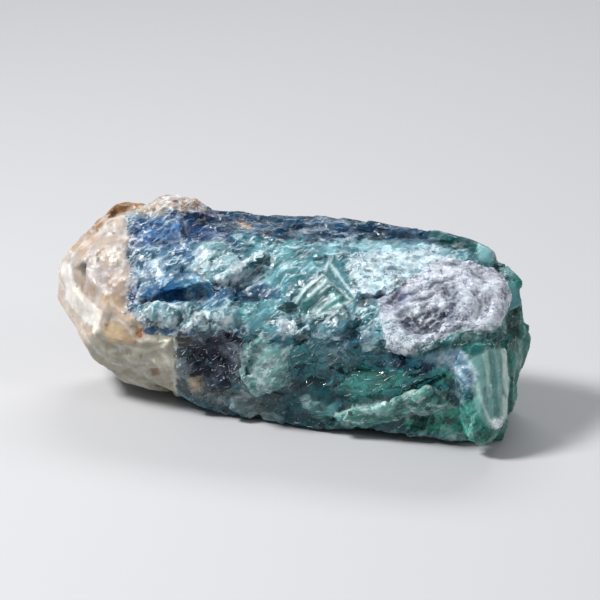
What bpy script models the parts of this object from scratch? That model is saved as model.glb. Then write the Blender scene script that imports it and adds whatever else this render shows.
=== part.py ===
"""A rough piece of blue-green fluorite with a cream, water-worn end, lying on its side.

The stone is one solid. X runs along it from the cream end to the broken end, the camera side
is -Y, and Z is up. Its origin is at the middle of its box, on the surface that it rests on.
It is skinned over long ridges, cut flat along cleavage planes, and then given the plates,
hollows and chips that break up its faces. Sizes are in millimetres.
"""

import math
import random

import bmesh
import bpy
import numpy as np
from mathutils import Matrix, Vector, noise
from mathutils.bvhtree import BVHTree

MM = 0.001

# The body: stations along X, and how finely the stone is skinned between its ridges.
CREAM_TIP_X = -39.3
SHOULDER_X = -22.0
BROKEN_END_X = 39.6
STATION_STEP = 3.4
RIDGE_STEPS = 2
# How far a corner of the skin strays along the stone, so that its facets are uneven.
STRAY = 1.1
NOSE_AXIS = (1.0, 16.7)
NOSE_ROUNDNESS = 2.15

# Each ridge runs along the stone as (x, y, z) corners. They are listed round the section.
RIDGES = {
    "crest": [(-24, 5, 31.0), (-18, 6, 30.6), (-13, 7, 30.1), (-3, 8, 30.1), (10, 8, 30.6),
              (20, 8, 30.4), (26, 8, 29.4), (31, 8, 26.5), (34, 8, 23.5), (38, 9, 20.6), (39.6, 9, 18.6)],
    "shoulder": [(-24, -2, 29.2), (-18.6, 1.2, 28.6), (-10, -1.9, 28.2), (-2, -2, 28),
                 (6.8, -2.1, 27.8), (14.6, 0.3, 28), (23.6, 4, 28), (32, 5, 25.5), (39.6, 6, 18.5)],
    "upper_face": [(-22, -8, 25), (-10, -8.6, 23.2), (-3, -9, 24), (6.6, -8.8, 23.4),
                   (14.5, -7.5, 23.8), (22.4, -6.5, 23.4), (33, -4.5, 23.4), (39.6, -1, 18.5)],
    "brow": [(-21.9, -12, 17.1), (-10.7, -13.5, 16.5), (-3.5, -14, 18.8), (6.6, -13.5, 17.3),
             (14.5, -13.5, 17.5), (22.4, -14, 16.1), (33, -12, 19), (37.7, -8, 18.6), (39.6, -5, 17)],
    "cheek": [(-22, -11.5, 9.6), (-10.7, -13, 9.2), (-3.5, -13.6, 10), (6.6, -13, 9.5),
              (14.5, -13.6, 9), (22.4, -13.6, 9), (30, -13, 9), (36, -10.5, 9), (39.6, -6, 9)],
    "foot": [(-21.5, -7, 2.1), (-15.9, -8, 2.9), (-12.1, -8.5, 1.4), (-6.6, -9, 0.4),
             (3.9, -10, 0.6), (10.5, -11, 0.8), (21, -11, 1.9), (29.3, -11, 1.3), (39.6, -7, 0.8)],
    "sole_front": [(-22, -3, 0.9), (-12, -4, -0.6), (10, -6, -0.6), (39.6, -4, 0)],
    "sole_back": [(-22, 6, 1.2), (-10, 9, -0.6), (20, 10, -0.6), (36, 9, -0.6), (39.6, 6, 0.6)],
    "back_low": [(-22, 12, 6.5), (-8, 14.5, 5), (10, 15.6, 6), (28, 14.5, 5.5), (39.6, 10.5, 6)],
    "back_mid": [(-22, 13.5, 15.5), (-8, 16, 14), (10, 16.8, 15), (28, 15.6, 14), (39.6, 11.6, 13)],
    "back_high": [(-22, 11.5, 25.5), (-8, 13, 24), (10, 14.2, 24.6), (28, 13, 23.5), (39.6, 10.8, 18.6)],
}

# Broken faces aren't smooth: long swells, then a finer ripple, as (height, wavelength).
SWELLS = ((0.75, 9.0), (0.35, 3.6))

# Round lumps of the cream end and of the underside: centre, half sizes and turn about Y.
LUMPS = {
    "brown_crust": ((-28.0, 3.8, 25.0), (5.2, 7.0, 5.6), -20),
    "cream_cheek": ((-27.6, -3.0, 17.0), (8.6, 9.4, 9.4), 0),
    "cream_chin": ((-22.6, -3.0, 11.2), (8.0, 8.2, 7.6), 25),
    "cream_back": ((-26.5, 6.0, 15.5), (8.8, 7.8, 9.2), 0),
    "belly_knot": ((-3.6, -9.0, 3.0), (2.6, 2.6, 2.2), 0),
    "chin_knot": ((-10.8, -8.6, 4.2), (2.8, 2.2, 1.9), 20),
    "heel_knot": ((14.0, 13.0, 3.4), (5.5, 3.4, 2.6), 0),
}

# The smooth column that hangs at the broken end's front corner, as (x, y, z, half width along X,
# half width along Y) from its root down to its round foot.
TONGUE = [(34.6, -9.0, 18.2, 3.6, 2.6), (36.2, -10.6, 12.0, 3.3, 3.3), (36.9, -11.4, 7.0, 3.2, 3.5),
          (37.1, -11.6, 4.2, 2.9, 3.1), (37.2, -11.6, 2.6, 2.0, 2.3), (37.2, -11.4, 2.0, 0.9, 1.2)]
TONGUE_SIDES = 9

# Blocks grown through the body, each the hull of its corners.
BLOCKS = {
    # the crust that stands up where the cream end meets the blue
    "pale_crust": [(-27.5, 2, 27.2), (-25.0, 6.0, 31.0), (-21.6, 3.0, 31.9), (-20.0, 7.5, 32.2), (-17.0, 4.2, 31.4),
                   (-13.6, 7.0, 30.0), (-27, 9, 27.5), (-15, 10.6, 27.5), (-23, 10.6, 29), (-24, -3.2, 26.4),
                   (-16.4, -3.0, 27.4), (-20, -1.8, 29.8), (-20, 5, 20)],
    # steps that climb the broken end behind the tongue
    "end_pillar": [(36, -6, 3), (39.9, -2.4, 3.6), (40.2, -4.2, 9.6), (39.8, -1.0, 10.2), (36, 0, 2),
                   (39.2, 0.2, 1.0), (35, 0, 11), (35, -7, 10)],
    "end_rim": [(36, 4, 6), (39.2, 5.0, 7.0), (40.6, 7.8, 12.6), (40.7, 8.6, 17.2), (36, 10.4, 19.8),
                (36, 11.5, 12), (35, 4, 18), (39.2, 3.4, 17.0), (37, 9, 6)],
    "end_knob": [(33, 1, 22.6), (36.6, 0, 21.4), (39.0, 2.6, 19.2), (39.6, 8.0, 21.0), (37.8, 8.4, 23.6),
                 (35.6, 9.0, 25.0), (33, 9.4, 25.4), (33.2, 2, 17), (37, 7, 15)],
    # the thick slab that carries the top corner over the notch
    "top_corner": [(22, 8.2, 30.2), (31.8, 8.2, 28.7), (33.6, 7.2, 27.2), (33.4, 10.8, 25.6),
                   (26, 12.8, 26.0), (23, 3.6, 28.0), (32.2, 3.2, 26.2), (33.3, 6.0, 23.5), (26, 8, 22),
                   (32, 8, 21)],
}

# Great cleavage faces, as (point, azimuth and elevation of the outward normal).
CLEAVAGES = [
    ((0, -13.2, 10), (4, -6)),
    ((2, -7.2, 25.4), (-3, 49)),
    ((4, 4, 29.9), (-10, 86)),
    ((38.9, -2, 14), (78, 4)),
    ((8, 15.8, 16), (176, 8)),
    ((16, 11.6, 27), (170, 48)),
    ((-21, 9.6, 28.3), (188, 42)),
    ((4, 13.6, 4), (183, -40)),
    ((-31, -9.4, 15), (-38, 4)),
    ((-32, 9.0, 12), (-138, -8)),
    ((-34.1, -6.6, 11.8), (-60, -30)),
    ((-27.9, -7.2, 5.0), (-49, -47)),
    ((-37.8, -5.1, 18.8), (-72, 0)),
    ((36.9, 15.9, 10.3), (103, -14)),
]

# Plates and hollows, outlined as seen along a view: u to the right and v up, from the origin.
# A plate stands proud of its face by its height at its sheer side, whose direction is given in
# degrees (0 to the right, 90 up), and runs out into the face on the other side. A hollow is sunk
# by its depth all over.
VIEWS = {
    "front": (18, 20),
    "back": (198, 14),
    "above": (10, 74),
    "below": (20, -58),
    "end": (96, 12),
}
PLATES = {
    "blue_block": ("front", 1.1, 200, [(-22.9, 29.8), (-18.5, 30.1), (-17, 28.3), (-17.6, 26.4), (-22.6, 26)]),
    "blue_slab": ("front", 1.2, 250, [(-24.2, 25.4), (-18.9, 25.7), (-16, 22.7), (-13.5, 20.1), (-17.6, 18.8),
                                      (-22.6, 17.1), (-24.9, 18.1), (-25.4, 22.7)]),
    "pale_nodules": ("front", 1.6, 300, [(-15, 24.4), (-13.5, 26.4), (-10.7, 27), (-8.1, 24.7), (-6.9, 22.7),
                                         (-8.1, 20.6), (-11, 19.8), (-15, 21.1)]),
    "shelf": ("front", 1.8, 90, [(-24.2, 14.5), (-22.6, 15.8), (-19.3, 16.1), (-15.2, 16), (-12.7, 14.2),
                                 (-9.7, 14.5), (-8.1, 15.8), (-6.8, 14.5), (-7.7, 12.4), (-11.9, 11.9),
                                 (-16, 11.5), (-20.1, 11.5), (-23.4, 12.2)]),
    "diagonal_rib": ("front", 1.7, 310, [(-10.7, 21.2), (-7.2, 23.2), (-3.3, 25.0), (-2.6, 24.2), (-6.4, 22.0),
                                         (-10.2, 19.9)]),
    "wedge_facet": ("front", 1.5, 30, [(3, 20.6), (5.1, 23.1), (9.6, 16.5), (10.7, 11.5), (5.1, 11.5),
                                       (2.1, 15.7)]),
    "cloud_facet": ("front", 1.1, 240, [(8.7, 23.4), (17.3, 24.1), (18.9, 18.9), (16.1, 17.6), (11.2, 16.8)]),
    "frosted_plateau": ("front", 2.0, 285, [(14, 16.5), (18.6, 18.5), (25.2, 22.7), (28.8, 23.4), (33.4, 21.4),
                                            (35.4, 19.3), (35.4, 15.7), (33.8, 12.2), (30.1, 11.2),
                                            (27.2, 12.2), (23.6, 9.1), (19.4, 8.2), (16.1, 10.7),
                                            (14, 13.5)]),
    "pale_plate": ("front", 1.3, 260, [(-7.1, 8.2), (-4.8, 9.2), (-0.5, 8.6), (0.7, 5.9), (-0.2, 3.3),
                                       (-5.1, 1.5), (-7.2, 4.3)]),
    "lower_ledge": ("front", 2.3, 100, [(6.8, -2.3), (10.7, -1), (16.6, 0.3), (20.6, 2), (23.2, 3), (25.9, 0.3),
                                        (25.5, -1.2), (21.9, -1.5), (18.3, -2.6), (12.9, -3.3)]),
    "green_fold": ("front", 1.4, 70, [(3.0, 3.1), (8.5, 4.2), (15.5, 4.8), (22.5, 6.4), (23.4, 4.4), (16.8, 2.4),
                                      (9.2, 1.2), (3.4, 0.6)]),
    "cream_face": ("front", 0.9, 190, [(-33.4, 26.4), (-30, 28.7), (-24.2, 30.1), (-24.5, 26.4), (-25.5, 22.7),
                                       (-25.2, 18.1), (-27.8, 16.5), (-30.8, 15.7), (-33.3, 18.1),
                                       (-34.4, 22.7)]),
    "stained_facet": ("front", 1.1, 270, [(-30.1, 15.2), (-26.7, 15.7), (-23.7, 14), (-23.7, 11), (-27.5, 9.9),
                                          (-31.1, 10.9)]),
    "grey_window": ("front", 1.0, 0, [(-30.8, 9.9), (-23.4, 10.5), (-18.3, 10.5), (-18.3, 2.3), (-22.6, 2.3),
                                      (-27.8, 5.6)]),
    "side_pillars": ("front", 1.1, 0, [(36.1, 4.6), (37.7, 3.8), (37.6, 0), (36.4, -2), (35.7, -0.8)]),
    "back_slab": ("back", 1.8, 250, [(-30, 14), (-22, 20), (-10, 21), (-2, 17), (-6, 9), (-16, 7), (-26, 8)]),
    "back_frost": ("back", 1.5, 200, [(2, 22), (12, 24), (20, 22), (22, 15), (14, 12), (4, 14)]),
    "back_ledge": ("back", 1.9, 95, [(-14, 4), (-2, 6), (10, 5), (16, 2), (4, -1), (-10, 0)]),
    "back_cream": ("back", 1.1, 20, [(24, 24), (31, 22), (34, 16), (32, 9), (25, 10), (22, 17)]),
    "top_shard": ("above", 1.0, 80, [(-14, 10), (2, 12), (14, 10), (10, 6), (-6, 5), (-15, 7)]),
    "end_facet": ("end", 1.1, 0, [(-9, 14), (-3, 16), (2, 12), (0, 6), (-7, 6)]),
}
HOLLOWS = {
    "blue_hollow": ("front", 2.8, [(-22.6, 16.6), (-20.1, 18.1), (-16, 19.1), (-12, 19.4), (-9.1, 18.6),
                                   (-10.7, 16.3), (-12.4, 15), (-15, 16.3), (-19.3, 16.4)]),
    "navy_hollow": ("front", 1.5, [(-8.6, 19.4), (-4.1, 22.7), (-1.2, 22.7), (0.5, 18.9), (-4.1, 15.7),
                                   (-7.7, 16.1)]),
    "fan_pit": ("front", 1.6, [(-1.0, 15.8), (1.2, 16.6), (4.0, 19.8), (2.4, 15.4), (3.6, 12.2), (0.6, 14.2)]),
    "dark_face": ("front", 1.2, [(-15.7, 9.9), (-8.2, 10.7), (-7.2, 8.2), (-8.4, 4.6), (-13.5, 2.5),
                                 (-15.7, 5.8)]),
    "green_face": ("front", 1.1, [(2.1, 9.9), (16.1, 7.9), (23.6, 4.6), (16.1, 1.3), (7.1, -0.7), (2.1, 1.3),
                                  (1.2, 5.8)]),
    "under_ledge": ("front", 1.2, [(18.6, -3), (25.2, -1.8), (28.8, 0), (29.8, -4.1), (25.2, -5.3)]),
    "top_trough": ("front", 0.9, [(5.8, 28.5), (21.9, 27.2), (24, 25.9), (14, 25.7), (7.1, 25.9)]),
    "end_window": ("front", 1.5, [(35.6, 15.2), (38.6, 15.7), (39, 10.7), (37.1, 8.2), (35.1, 9.9),
                                  (34.9, 12.9)]),
    "crust_groove": ("front", 1.7, [(-23.1, 33.6), (-24.2, 31.6), (-28, 30.4), (-29.8, 30.2), (-28.8, 31.5),
                                    (-25.2, 32.9)]),
    "back_trough": ("back", 1.6, [(-4, 13), (8, 12), (22, 9), (24, 6), (10, 7), (-2, 9)]),
    "back_scoop": ("back", 1.3, [(-20, 5), (-12, 6), (-10, 1), (-18, -1), (-24, 2)]),
    "end_scoop": ("end", 1.3, [(2, 13), (7, 13), (9, 7), (4, 4), (0, 8)]),
    "belly_scoop": ("below", 1.2, [(-26, -6), (-16, -4), (-14, -10), (-24, -12)]),
}

# Chips knocked off the ridges: three-sided steps whose floors lie along the stone's cleavage.
CHIP_SEED = 20
CHIPS_PER_RIDGE = {"shoulder": 5, "upper_face": 6, "brow": 8, "cheek": 7, "foot": 6, "sole_front": 3,
                   "sole_back": 3, "back_low": 5, "back_mid": 4, "back_high": 7}
CHIP_RADIUS = (1.8, 4.6)
CHIP_DEPTH = (0.3, 0.9)
# A chip may lie this far off its ridge, and its floor may lean this far from the face.
CHIP_SCATTER = 2.2
CHIP_LEAN = (8.0, 32.0)
LAST_CHIP_X = 33.0
# Chips are also knocked off near these points of the broken end, the cream end and the back.
CHIPPED_PLACES = [(39.5, -3, 14), (39.5, 3, 9), (39.5, 1, 17), (39.5, 0, 5), (39, 7, 4), (38.6, -8, 12),
                  (38.5, 11, 9), (-33, -6, 20), (-31, -6, 26), (-34, 8, 18), (-36, 3, 15),
                  (-30, 9, 22), (-29, -8, 11), (-35, 4, 12), (-27, 10, 12), (10, 16, 20), (-2, 16, 10),
                  (20, 15.5, 10), (-12, 15, 19), (2, 13, 25), (18, 13.5, 24.5), (29, 13, 18)]
# The octahedron that fluorite cleaves along, turned as it lies in this stone.
CLEAVAGE_TURN = (34.0, -12.0, 21.0)

# How much of a plate's height is left on the side where it runs out.
PLATE_RUNS_OUT = 0.1
PLATE_BEVEL = 0.5
# Each side of an outline is broken in two, and its middle is moved by up to this share of it.
RAGGED = 0.13
PLATE_ROOT = 2.0
CUTTER_REACH = 4.0
CLEAVER_SIZE = 200.0
# A cut that would take more of the stone than this leaves has failed.
LEAST_KEPT = 0.75
VIEW_DISTANCE = 100.0
# How far an outline follows the bumps under it, as a share and at the most.
DRAPE = 0.5
MOST_DRAPE = 1.2
# Neighbouring faces that bend less than this, in degrees, become one flat, which is then cut into
# triangles in one of two ways: the first pair that keeps the stone closed.
FLAT_BENDS = (1.5, 1.0, 0.4, 0.0)
FLAT_CUTS = ("BEAUTY", "EAR_CLIP")

FLUORITE_GREEN = (0.055, 0.23, 0.25, 1.0)


def between(corners, x):
    """The point of a ridge at x, on straight runs between its corners."""
    if x <= corners[0][0]:
        return corners[0][1], corners[0][2]
    for (x0, y0, z0), (x1, y1, z1) in zip(corners, corners[1:]):
        if x <= x1:
            t = (x - x0) / (x1 - x0)
            return y0 + (y1 - y0) * t, z0 + (z1 - z0) * t
    return corners[-1][1], corners[-1][2]


def section_at(x):
    """The stone's outline at x: the ridges' points, closing in on the nose towards the tip."""
    past_shoulder = min(max((SHOULDER_X - x) / (SHOULDER_X - CREAM_TIP_X), 0.0), 0.995)
    closing = (1 - past_shoulder ** NOSE_ROUNDNESS) ** (1 / NOSE_ROUNDNESS)
    corners = []
    for ridge in RIDGES.values():
        y, z = between(ridge, max(x, SHOULDER_X))
        corners.append(Vector((x, NOSE_AXIS[0] + (y - NOSE_AXIS[0]) * closing,
                               NOSE_AXIS[1] + (z - NOSE_AXIS[1]) * closing)))
    outline = []
    for corner, following in zip(corners, corners[1:] + corners[:1]):
        outline += [corner.lerp(following, i / RIDGE_STEPS) for i in range(RIDGE_STEPS)]
    return outline


def stations():
    """Where the sections stand: evenly spaced, and closer where the nose rounds off."""
    nose_turns = (0.0, 0.16, 0.32, 0.48, 0.64, 0.8)
    nose = [CREAM_TIP_X + (SHOULDER_X - CREAM_TIP_X) * (1 - math.cos(t * math.pi / 2)) for t in nose_turns]
    count = round((BROKEN_END_X - SHOULDER_X) / STATION_STEP)
    body = [SHOULDER_X + (BROKEN_END_X - SHOULDER_X) * i / count for i in range(count + 1)]
    return nose + body


def roughened(point, outward, stray=0.0):
    """A point of a broken face, moved in or out by the face's swells and along X by its stray."""
    height = sum(size * noise.noise(point / length) for size, length in SWELLS)
    return point + outward * height + Vector((stray * noise.noise(point * 7.3), 0, 0))


def skinned_body():
    """The long body: its sections joined by bands of faces and closed at both ends."""
    mesh = bmesh.new()
    rings = []
    for x in stations():
        outline = section_at(x)
        middle = sum(outline, Vector()) / len(outline)
        rings.append([mesh.verts.new(roughened(p, (p - middle).normalized(), STRAY)) for p in outline])
    for ring, following in zip(rings, rings[1:]):
        for i in range(len(ring)):
            j = (i + 1) % len(ring)
            mesh.faces.new((ring[i], ring[j], following[j], following[i]))
    for ring in (rings[0], rings[-1]):
        middle = mesh.verts.new(sum((v.co for v in ring), Vector()) / len(ring))
        for i in range(len(ring)):
            mesh.faces.new((ring[i], ring[(i + 1) % len(ring)], middle))
    bmesh.ops.triangulate(mesh, faces=mesh.faces)
    bmesh.ops.recalc_face_normals(mesh, faces=mesh.faces)
    return mesh


def object_from(mesh, name):
    """A scene object that holds a bmesh, which is then freed."""
    data = bpy.data.meshes.new(name)
    mesh.to_mesh(data)
    mesh.free()
    made = bpy.data.objects.new(name, data)
    bpy.context.scene.collection.objects.link(made)
    return made


def without_shards(mesh):
    """Deletes all but the largest connected piece."""
    unseen, largest = set(mesh.verts), set()
    while unseen:
        piece, edge_of_piece = set(), [unseen.pop()]
        while edge_of_piece:
            vertex = edge_of_piece.pop()
            piece.add(vertex)
            near = {e.other_vert(vertex) for e in vertex.link_edges} & unseen
            unseen -= near
            edge_of_piece += near
        largest = max(largest, piece, key=len)
    shards = [v for v in mesh.verts if v not in largest]
    bmesh.ops.delete(mesh, geom=shards, context="VERTS")


def combined(stone, tool, operation, solver):
    """The stone's mesh after one Boolean, without loose shards."""
    boolean = stone.modifiers.new("combine", "BOOLEAN")
    boolean.solver = solver
    boolean.operation = operation
    boolean.object = tool
    bpy.context.view_layer.update()
    result = bpy.data.meshes.new_from_object(stone.evaluated_get(bpy.context.evaluated_depsgraph_get()))
    stone.modifiers.clear()
    mesh = bmesh.new()
    mesh.from_mesh(result)
    without_shards(mesh)
    mesh.to_mesh(result)
    volume = mesh.calc_volume()
    closed = all(part.is_manifold for part in (*mesh.edges, *mesh.verts))
    mesh.free()
    return result, volume, closed


def combine(stone, other, operation):
    """Adds the other mesh to the stone, or cuts it away. The quick solver takes over where
    the exact one loses the stone."""
    before = bmesh.new()
    before.from_mesh(stone.data)
    volume_before = before.calc_volume()
    before.free()
    tool = object_from(other, "tool")
    for solver in ("EXACT", "MANIFOLD"):
        result, volume, closed = combined(stone, tool, operation, solver)
        if closed and volume > volume_before * LEAST_KEPT:
            stone.data = result
            break
    bpy.data.objects.remove(tool)


def hull_of(corners):
    """The convex block over these corners."""
    mesh = bmesh.new()
    for corner in corners:
        mesh.verts.new(corner)
    hull = bmesh.ops.convex_hull(mesh, input=mesh.verts)
    inside = [v for v in hull["geom_interior"] if isinstance(v, bmesh.types.BMVert)]
    bmesh.ops.delete(mesh, geom=inside, context="VERTS")
    bmesh.ops.recalc_face_normals(mesh, faces=mesh.faces)
    return mesh


def worn_block(corners):
    """A hull with its edges worn round."""
    mesh = hull_of(corners)
    bmesh.ops.bevel(mesh, geom=mesh.edges, offset=0.9, segments=1, affect="EDGES", clamp_overlap=True)
    bmesh.ops.recalc_face_normals(mesh, faces=mesh.faces)
    return mesh


def column(sections):
    """The hull of round sections, one below the other."""
    corners = []
    for x, y, z, half_x, half_y in sections:
        for i in range(TONGUE_SIDES):
            angle = math.tau * (i + 0.3) / TONGUE_SIDES
            corners.append((x + half_x * math.cos(angle), y + half_y * math.sin(angle), z))
    return hull_of(corners)


def lump(centre, half_sizes, turn):
    """A round knot: a ball, stretched, turned about Y and slightly uneven."""
    mesh = bmesh.new()
    bmesh.ops.create_icosphere(mesh, subdivisions=3, radius=1.0)
    place = (Matrix.Translation(centre) @ Matrix.Rotation(math.radians(turn), 4, "Y")
             @ Matrix.Diagonal((*half_sizes, 1.0)))
    for vertex in mesh.verts:
        outward = vertex.co.copy()
        vertex.co = roughened(place @ vertex.co, outward)
    return mesh


def cleave(stone, point, facing):
    """Cuts the stone flat at a point: all that stands beyond its plane goes."""
    azimuth, elevation = (math.radians(angle) for angle in facing)
    outward = Vector((math.sin(azimuth) * math.cos(elevation), -math.cos(azimuth) * math.cos(elevation),
                      math.sin(elevation)))
    mesh = bmesh.new()
    bmesh.ops.create_cube(mesh, size=CLEAVER_SIZE)
    upright = outward.to_track_quat("Z", "Y").to_matrix().to_4x4()
    centre = Vector(point) + outward * (CLEAVER_SIZE / 2)
    mesh.transform(Matrix.Translation(centre) @ upright)
    combine(stone, mesh, "DIFFERENCE")


def view_axes(azimuth, elevation):
    """Right, up and towards the viewer. Azimuth 0 looks along +Y."""
    a, e = math.radians(azimuth), math.radians(elevation)
    towards = Vector((math.sin(a) * math.cos(e), -math.cos(a) * math.cos(e), math.sin(e)))
    right = Vector((math.cos(a), math.sin(a), 0))
    return right, towards.cross(right), towards


def draped(stone, outline, axes):
    """The outline's points laid on the stone as a view sees them, drawn towards one flat."""
    right, up, towards = axes
    tree = BVHTree.FromObject(stone, bpy.context.evaluated_depsgraph_get())
    starts = [right * u + up * v + towards * VIEW_DISTANCE for u, v in outline]
    hits = [tree.ray_cast(start, -towards)[0] for start in starts]
    known = [(u, v, (start - hit).length) for (u, v), start, hit in zip(outline, starts, hits) if hit]
    places = np.array([(u, v, 1.0) for u, v, depth in known])
    flat = np.linalg.lstsq(places, np.array([depth for u, v, depth in known]), rcond=None)[0]
    laid = []
    for (u, v), start, hit in zip(outline, starts, hits):
        depth = float(flat @ (u, v, 1.0))
        if hit:
            bump = (start - hit).length - depth
            depth += max(-MOST_DRAPE, min(MOST_DRAPE, bump * DRAPE))
        laid.append(start - towards * depth)
    return laid


def ragged(outline, seed):
    """The outline with each side broken in two, as a fracture runs."""
    chance = random.Random(seed)
    broken = []
    for (u0, v0), (u1, v1) in zip(outline, outline[1:] + outline[:1]):
        t, aside = chance.uniform(0.35, 0.65), chance.uniform(-RAGGED, RAGGED)
        broken.append((u0, v0))
        broken.append((u0 + (u1 - u0) * t - (v1 - v0) * aside, v0 + (v1 - v0) * t + (u1 - u0) * aside))
    return broken


def moved(ring, towards, lifts, spread):
    """A ring lifted along the view, corner by corner, and drawn in or out from its middle."""
    middle = sum(ring, Vector()) / len(ring)
    return [middle + (p - middle) * spread + towards * lift for p, lift in zip(ring, lifts)]


def stacked(rings):
    """A closed solid through rings of equal count, capped by a fan at each end."""
    mesh = bmesh.new()
    made = [[mesh.verts.new(p) for p in ring] for ring in rings]
    count = len(made[0])
    for low, high in zip(made, made[1:]):
        for i in range(count):
            j = (i + 1) % count
            mesh.faces.new((low[i], low[j], high[j], high[i]))
    for ring in (made[0], made[-1]):
        middle = mesh.verts.new(sum((v.co for v in ring), Vector()) / count)
        for i in range(count):
            mesh.faces.new((ring[i], ring[(i + 1) % count], middle))
    bmesh.ops.triangulate(mesh, faces=mesh.faces)
    bmesh.ops.recalc_face_normals(mesh, faces=mesh.faces)
    return mesh


def plate(stone, view, height, sheer_side, outline):
    """A slab on the stone's face, sheer on one side and running out on the other."""
    axes = view_axes(*VIEWS[view])
    outline = ragged(outline, len(outline) + sheer_side)
    angle = math.radians(sheer_side)
    along = [u * math.cos(angle) + v * math.sin(angle) for u, v in outline]
    low, high = min(along), max(along)
    lifts = [height * (PLATE_RUNS_OUT + (1 - PLATE_RUNS_OUT) * (a - low) / (high - low)) for a in along]
    ring = draped(stone, outline, axes)
    return stacked([moved(ring, axes[2], [-PLATE_ROOT] * len(ring), 1.0),
                    moved(ring, axes[2], [lift * PLATE_BEVEL for lift in lifts], 1.0),
                    moved(ring, axes[2], lifts, 0.9)])


def hollow(stone, view, depth, outline):
    """A cutter for a dish with sloping walls."""
    axes = view_axes(*VIEWS[view])
    ring = draped(stone, ragged(outline, len(outline)), axes)
    return stacked([moved(ring, axes[2], [-depth] * len(ring), 0.6),
                    moved(ring, axes[2], [0.0] * len(ring), 1.0),
                    moved(ring, axes[2], [CUTTER_REACH] * len(ring), 1.06)])


def cleavage_normals():
    """The eight faces of the octahedron that the crystal splits along."""
    turn = Matrix.Rotation(math.radians(CLEAVAGE_TURN[2]), 3, "Z")
    turn @= Matrix.Rotation(math.radians(CLEAVAGE_TURN[1]), 3, "Y")
    turn @= Matrix.Rotation(math.radians(CLEAVAGE_TURN[0]), 3, "X")
    signs = [(x, y, z) for x in (-1, 1) for y in (-1, 1) for z in (-1, 1)]
    return [(turn @ Vector(s)).normalized() for s in signs]


def chip(stone, near, chance, normals):
    """A three-sided cutter whose floor lies along a cleavage, or None if the face leans wrongly."""
    tree = BVHTree.FromObject(stone, bpy.context.evaluated_depsgraph_get())
    spot, outward = tree.find_nearest(near)[:2]
    radius, depth, spin = chance.uniform(*CHIP_RADIUS), chance.uniform(*CHIP_DEPTH), chance.uniform(0, math.tau)
    least, most = CHIP_LEAN
    likely = [n for n in normals if least < math.degrees(n.angle(outward)) < most]
    if not likely:
        return None
    floor = max(likely, key=outward.dot)
    mesh = bmesh.new()
    bmesh.ops.create_cone(mesh, cap_ends=True, segments=3, radius1=0.9, radius2=1.1, depth=1.0)
    upright = floor.to_track_quat("Z", "Y").to_matrix().to_4x4()
    size = Matrix.Diagonal((radius, radius * chance.uniform(0.6, 1.2), CUTTER_REACH, 1.0))
    centre = spot + floor * (CUTTER_REACH / 2 - depth)
    mesh.transform(Matrix.Translation(centre) @ upright @ Matrix.Rotation(spin, 4, "Z") @ size)
    return mesh


def knock_off_chips(stone):
    """Knocks small steps off every ridge, and off the places that are listed by hand."""
    chance = random.Random(CHIP_SEED)
    normals = cleavage_normals()
    places = []
    for ridge, count in CHIPS_PER_RIDGE.items():
        for i in range(count):
            x = SHOULDER_X + (LAST_CHIP_X - SHOULDER_X) * (i + chance.uniform(0.15, 0.85)) / count
            places.append((x, *between(RIDGES[ridge], x)))
    for place in places + CHIPPED_PLACES:
        scatter = Vector([chance.uniform(-CHIP_SCATTER, CHIP_SCATTER) for axis in range(3)])
        cutter = chip(stone, Vector(place) + scatter, chance, normals)
        if cutter:
            combine(stone, cutter, "DIFFERENCE")


def merged_flats(stone, most_bend, cut):
    """A copy of the stone's mesh in triangles, with faces joined that bend less than this."""
    mesh = bmesh.new()
    mesh.from_mesh(stone.data)
    bmesh.ops.dissolve_limit(mesh, angle_limit=math.radians(most_bend), verts=mesh.verts, edges=mesh.edges)
    bmesh.ops.triangulate(mesh, faces=mesh.faces, ngon_method=cut)
    return mesh


def closed_flats(stone):
    """The stone's mesh with its flats joined as far as it stays closed."""
    for most_bend in FLAT_BENDS:
        for cut in FLAT_CUTS:
            mesh = merged_flats(stone, most_bend, cut)
            if all(part.is_manifold for part in (*mesh.edges, *mesh.verts)):
                return mesh
            mesh.free()
    return merged_flats(stone, 0.0, FLAT_CUTS[0])


def finish(stone):
    """Joins the stone's flats, and sets its origin and its units."""
    mesh = closed_flats(stone)
    corners = [v.co for v in mesh.verts]
    low = Vector([min(c[i] for c in corners) for i in range(3)])
    high = Vector([max(c[i] for c in corners) for i in range(3)])
    bmesh.ops.translate(mesh, verts=mesh.verts, vec=-Vector(((low.x + high.x) / 2, (low.y + high.y) / 2, low.z)))
    bmesh.ops.scale(mesh, verts=mesh.verts, vec=(MM, MM, MM))
    mesh.to_mesh(stone.data)
    mesh.free()


def fluorite_material():
    """Clear blue-green crystal."""
    material = bpy.data.materials.new("fluorite")
    material.use_nodes = True
    shader = material.node_tree.nodes["Principled BSDF"]
    shader.inputs["Base Color"].default_value = FLUORITE_GREEN
    shader.inputs["Roughness"].default_value = 0.2
    shader.inputs["IOR"].default_value = 1.434
    shader.inputs["Transmission Weight"].default_value = 0.5
    return material


def build_fluorite():
    """The whole stone, as one solid."""
    stone = object_from(skinned_body(), "fluorite")
    for centre, half_sizes, turn in LUMPS.values():
        combine(stone, lump(centre, half_sizes, turn), "UNION")
    for point, facing in CLEAVAGES:
        cleave(stone, point, facing)
    for corners in BLOCKS.values():
        combine(stone, worn_block(corners), "UNION")
    combine(stone, column(TONGUE), "UNION")
    for sunk in HOLLOWS.values():
        combine(stone, hollow(stone, *sunk), "DIFFERENCE")
    for laid in PLATES.values():
        combine(stone, plate(stone, *laid), "UNION")
    knock_off_chips(stone)
    cleave(stone, (0, 0, 0), (0, -90))
    finish(stone)
    stone.data.materials.clear()
    stone.data.materials.append(fluorite_material())
    return stone


def clear_scene():
    for old in list(bpy.data.objects):
        bpy.data.objects.remove(old)


clear_scene()
build_fluorite()
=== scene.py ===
import math

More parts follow.
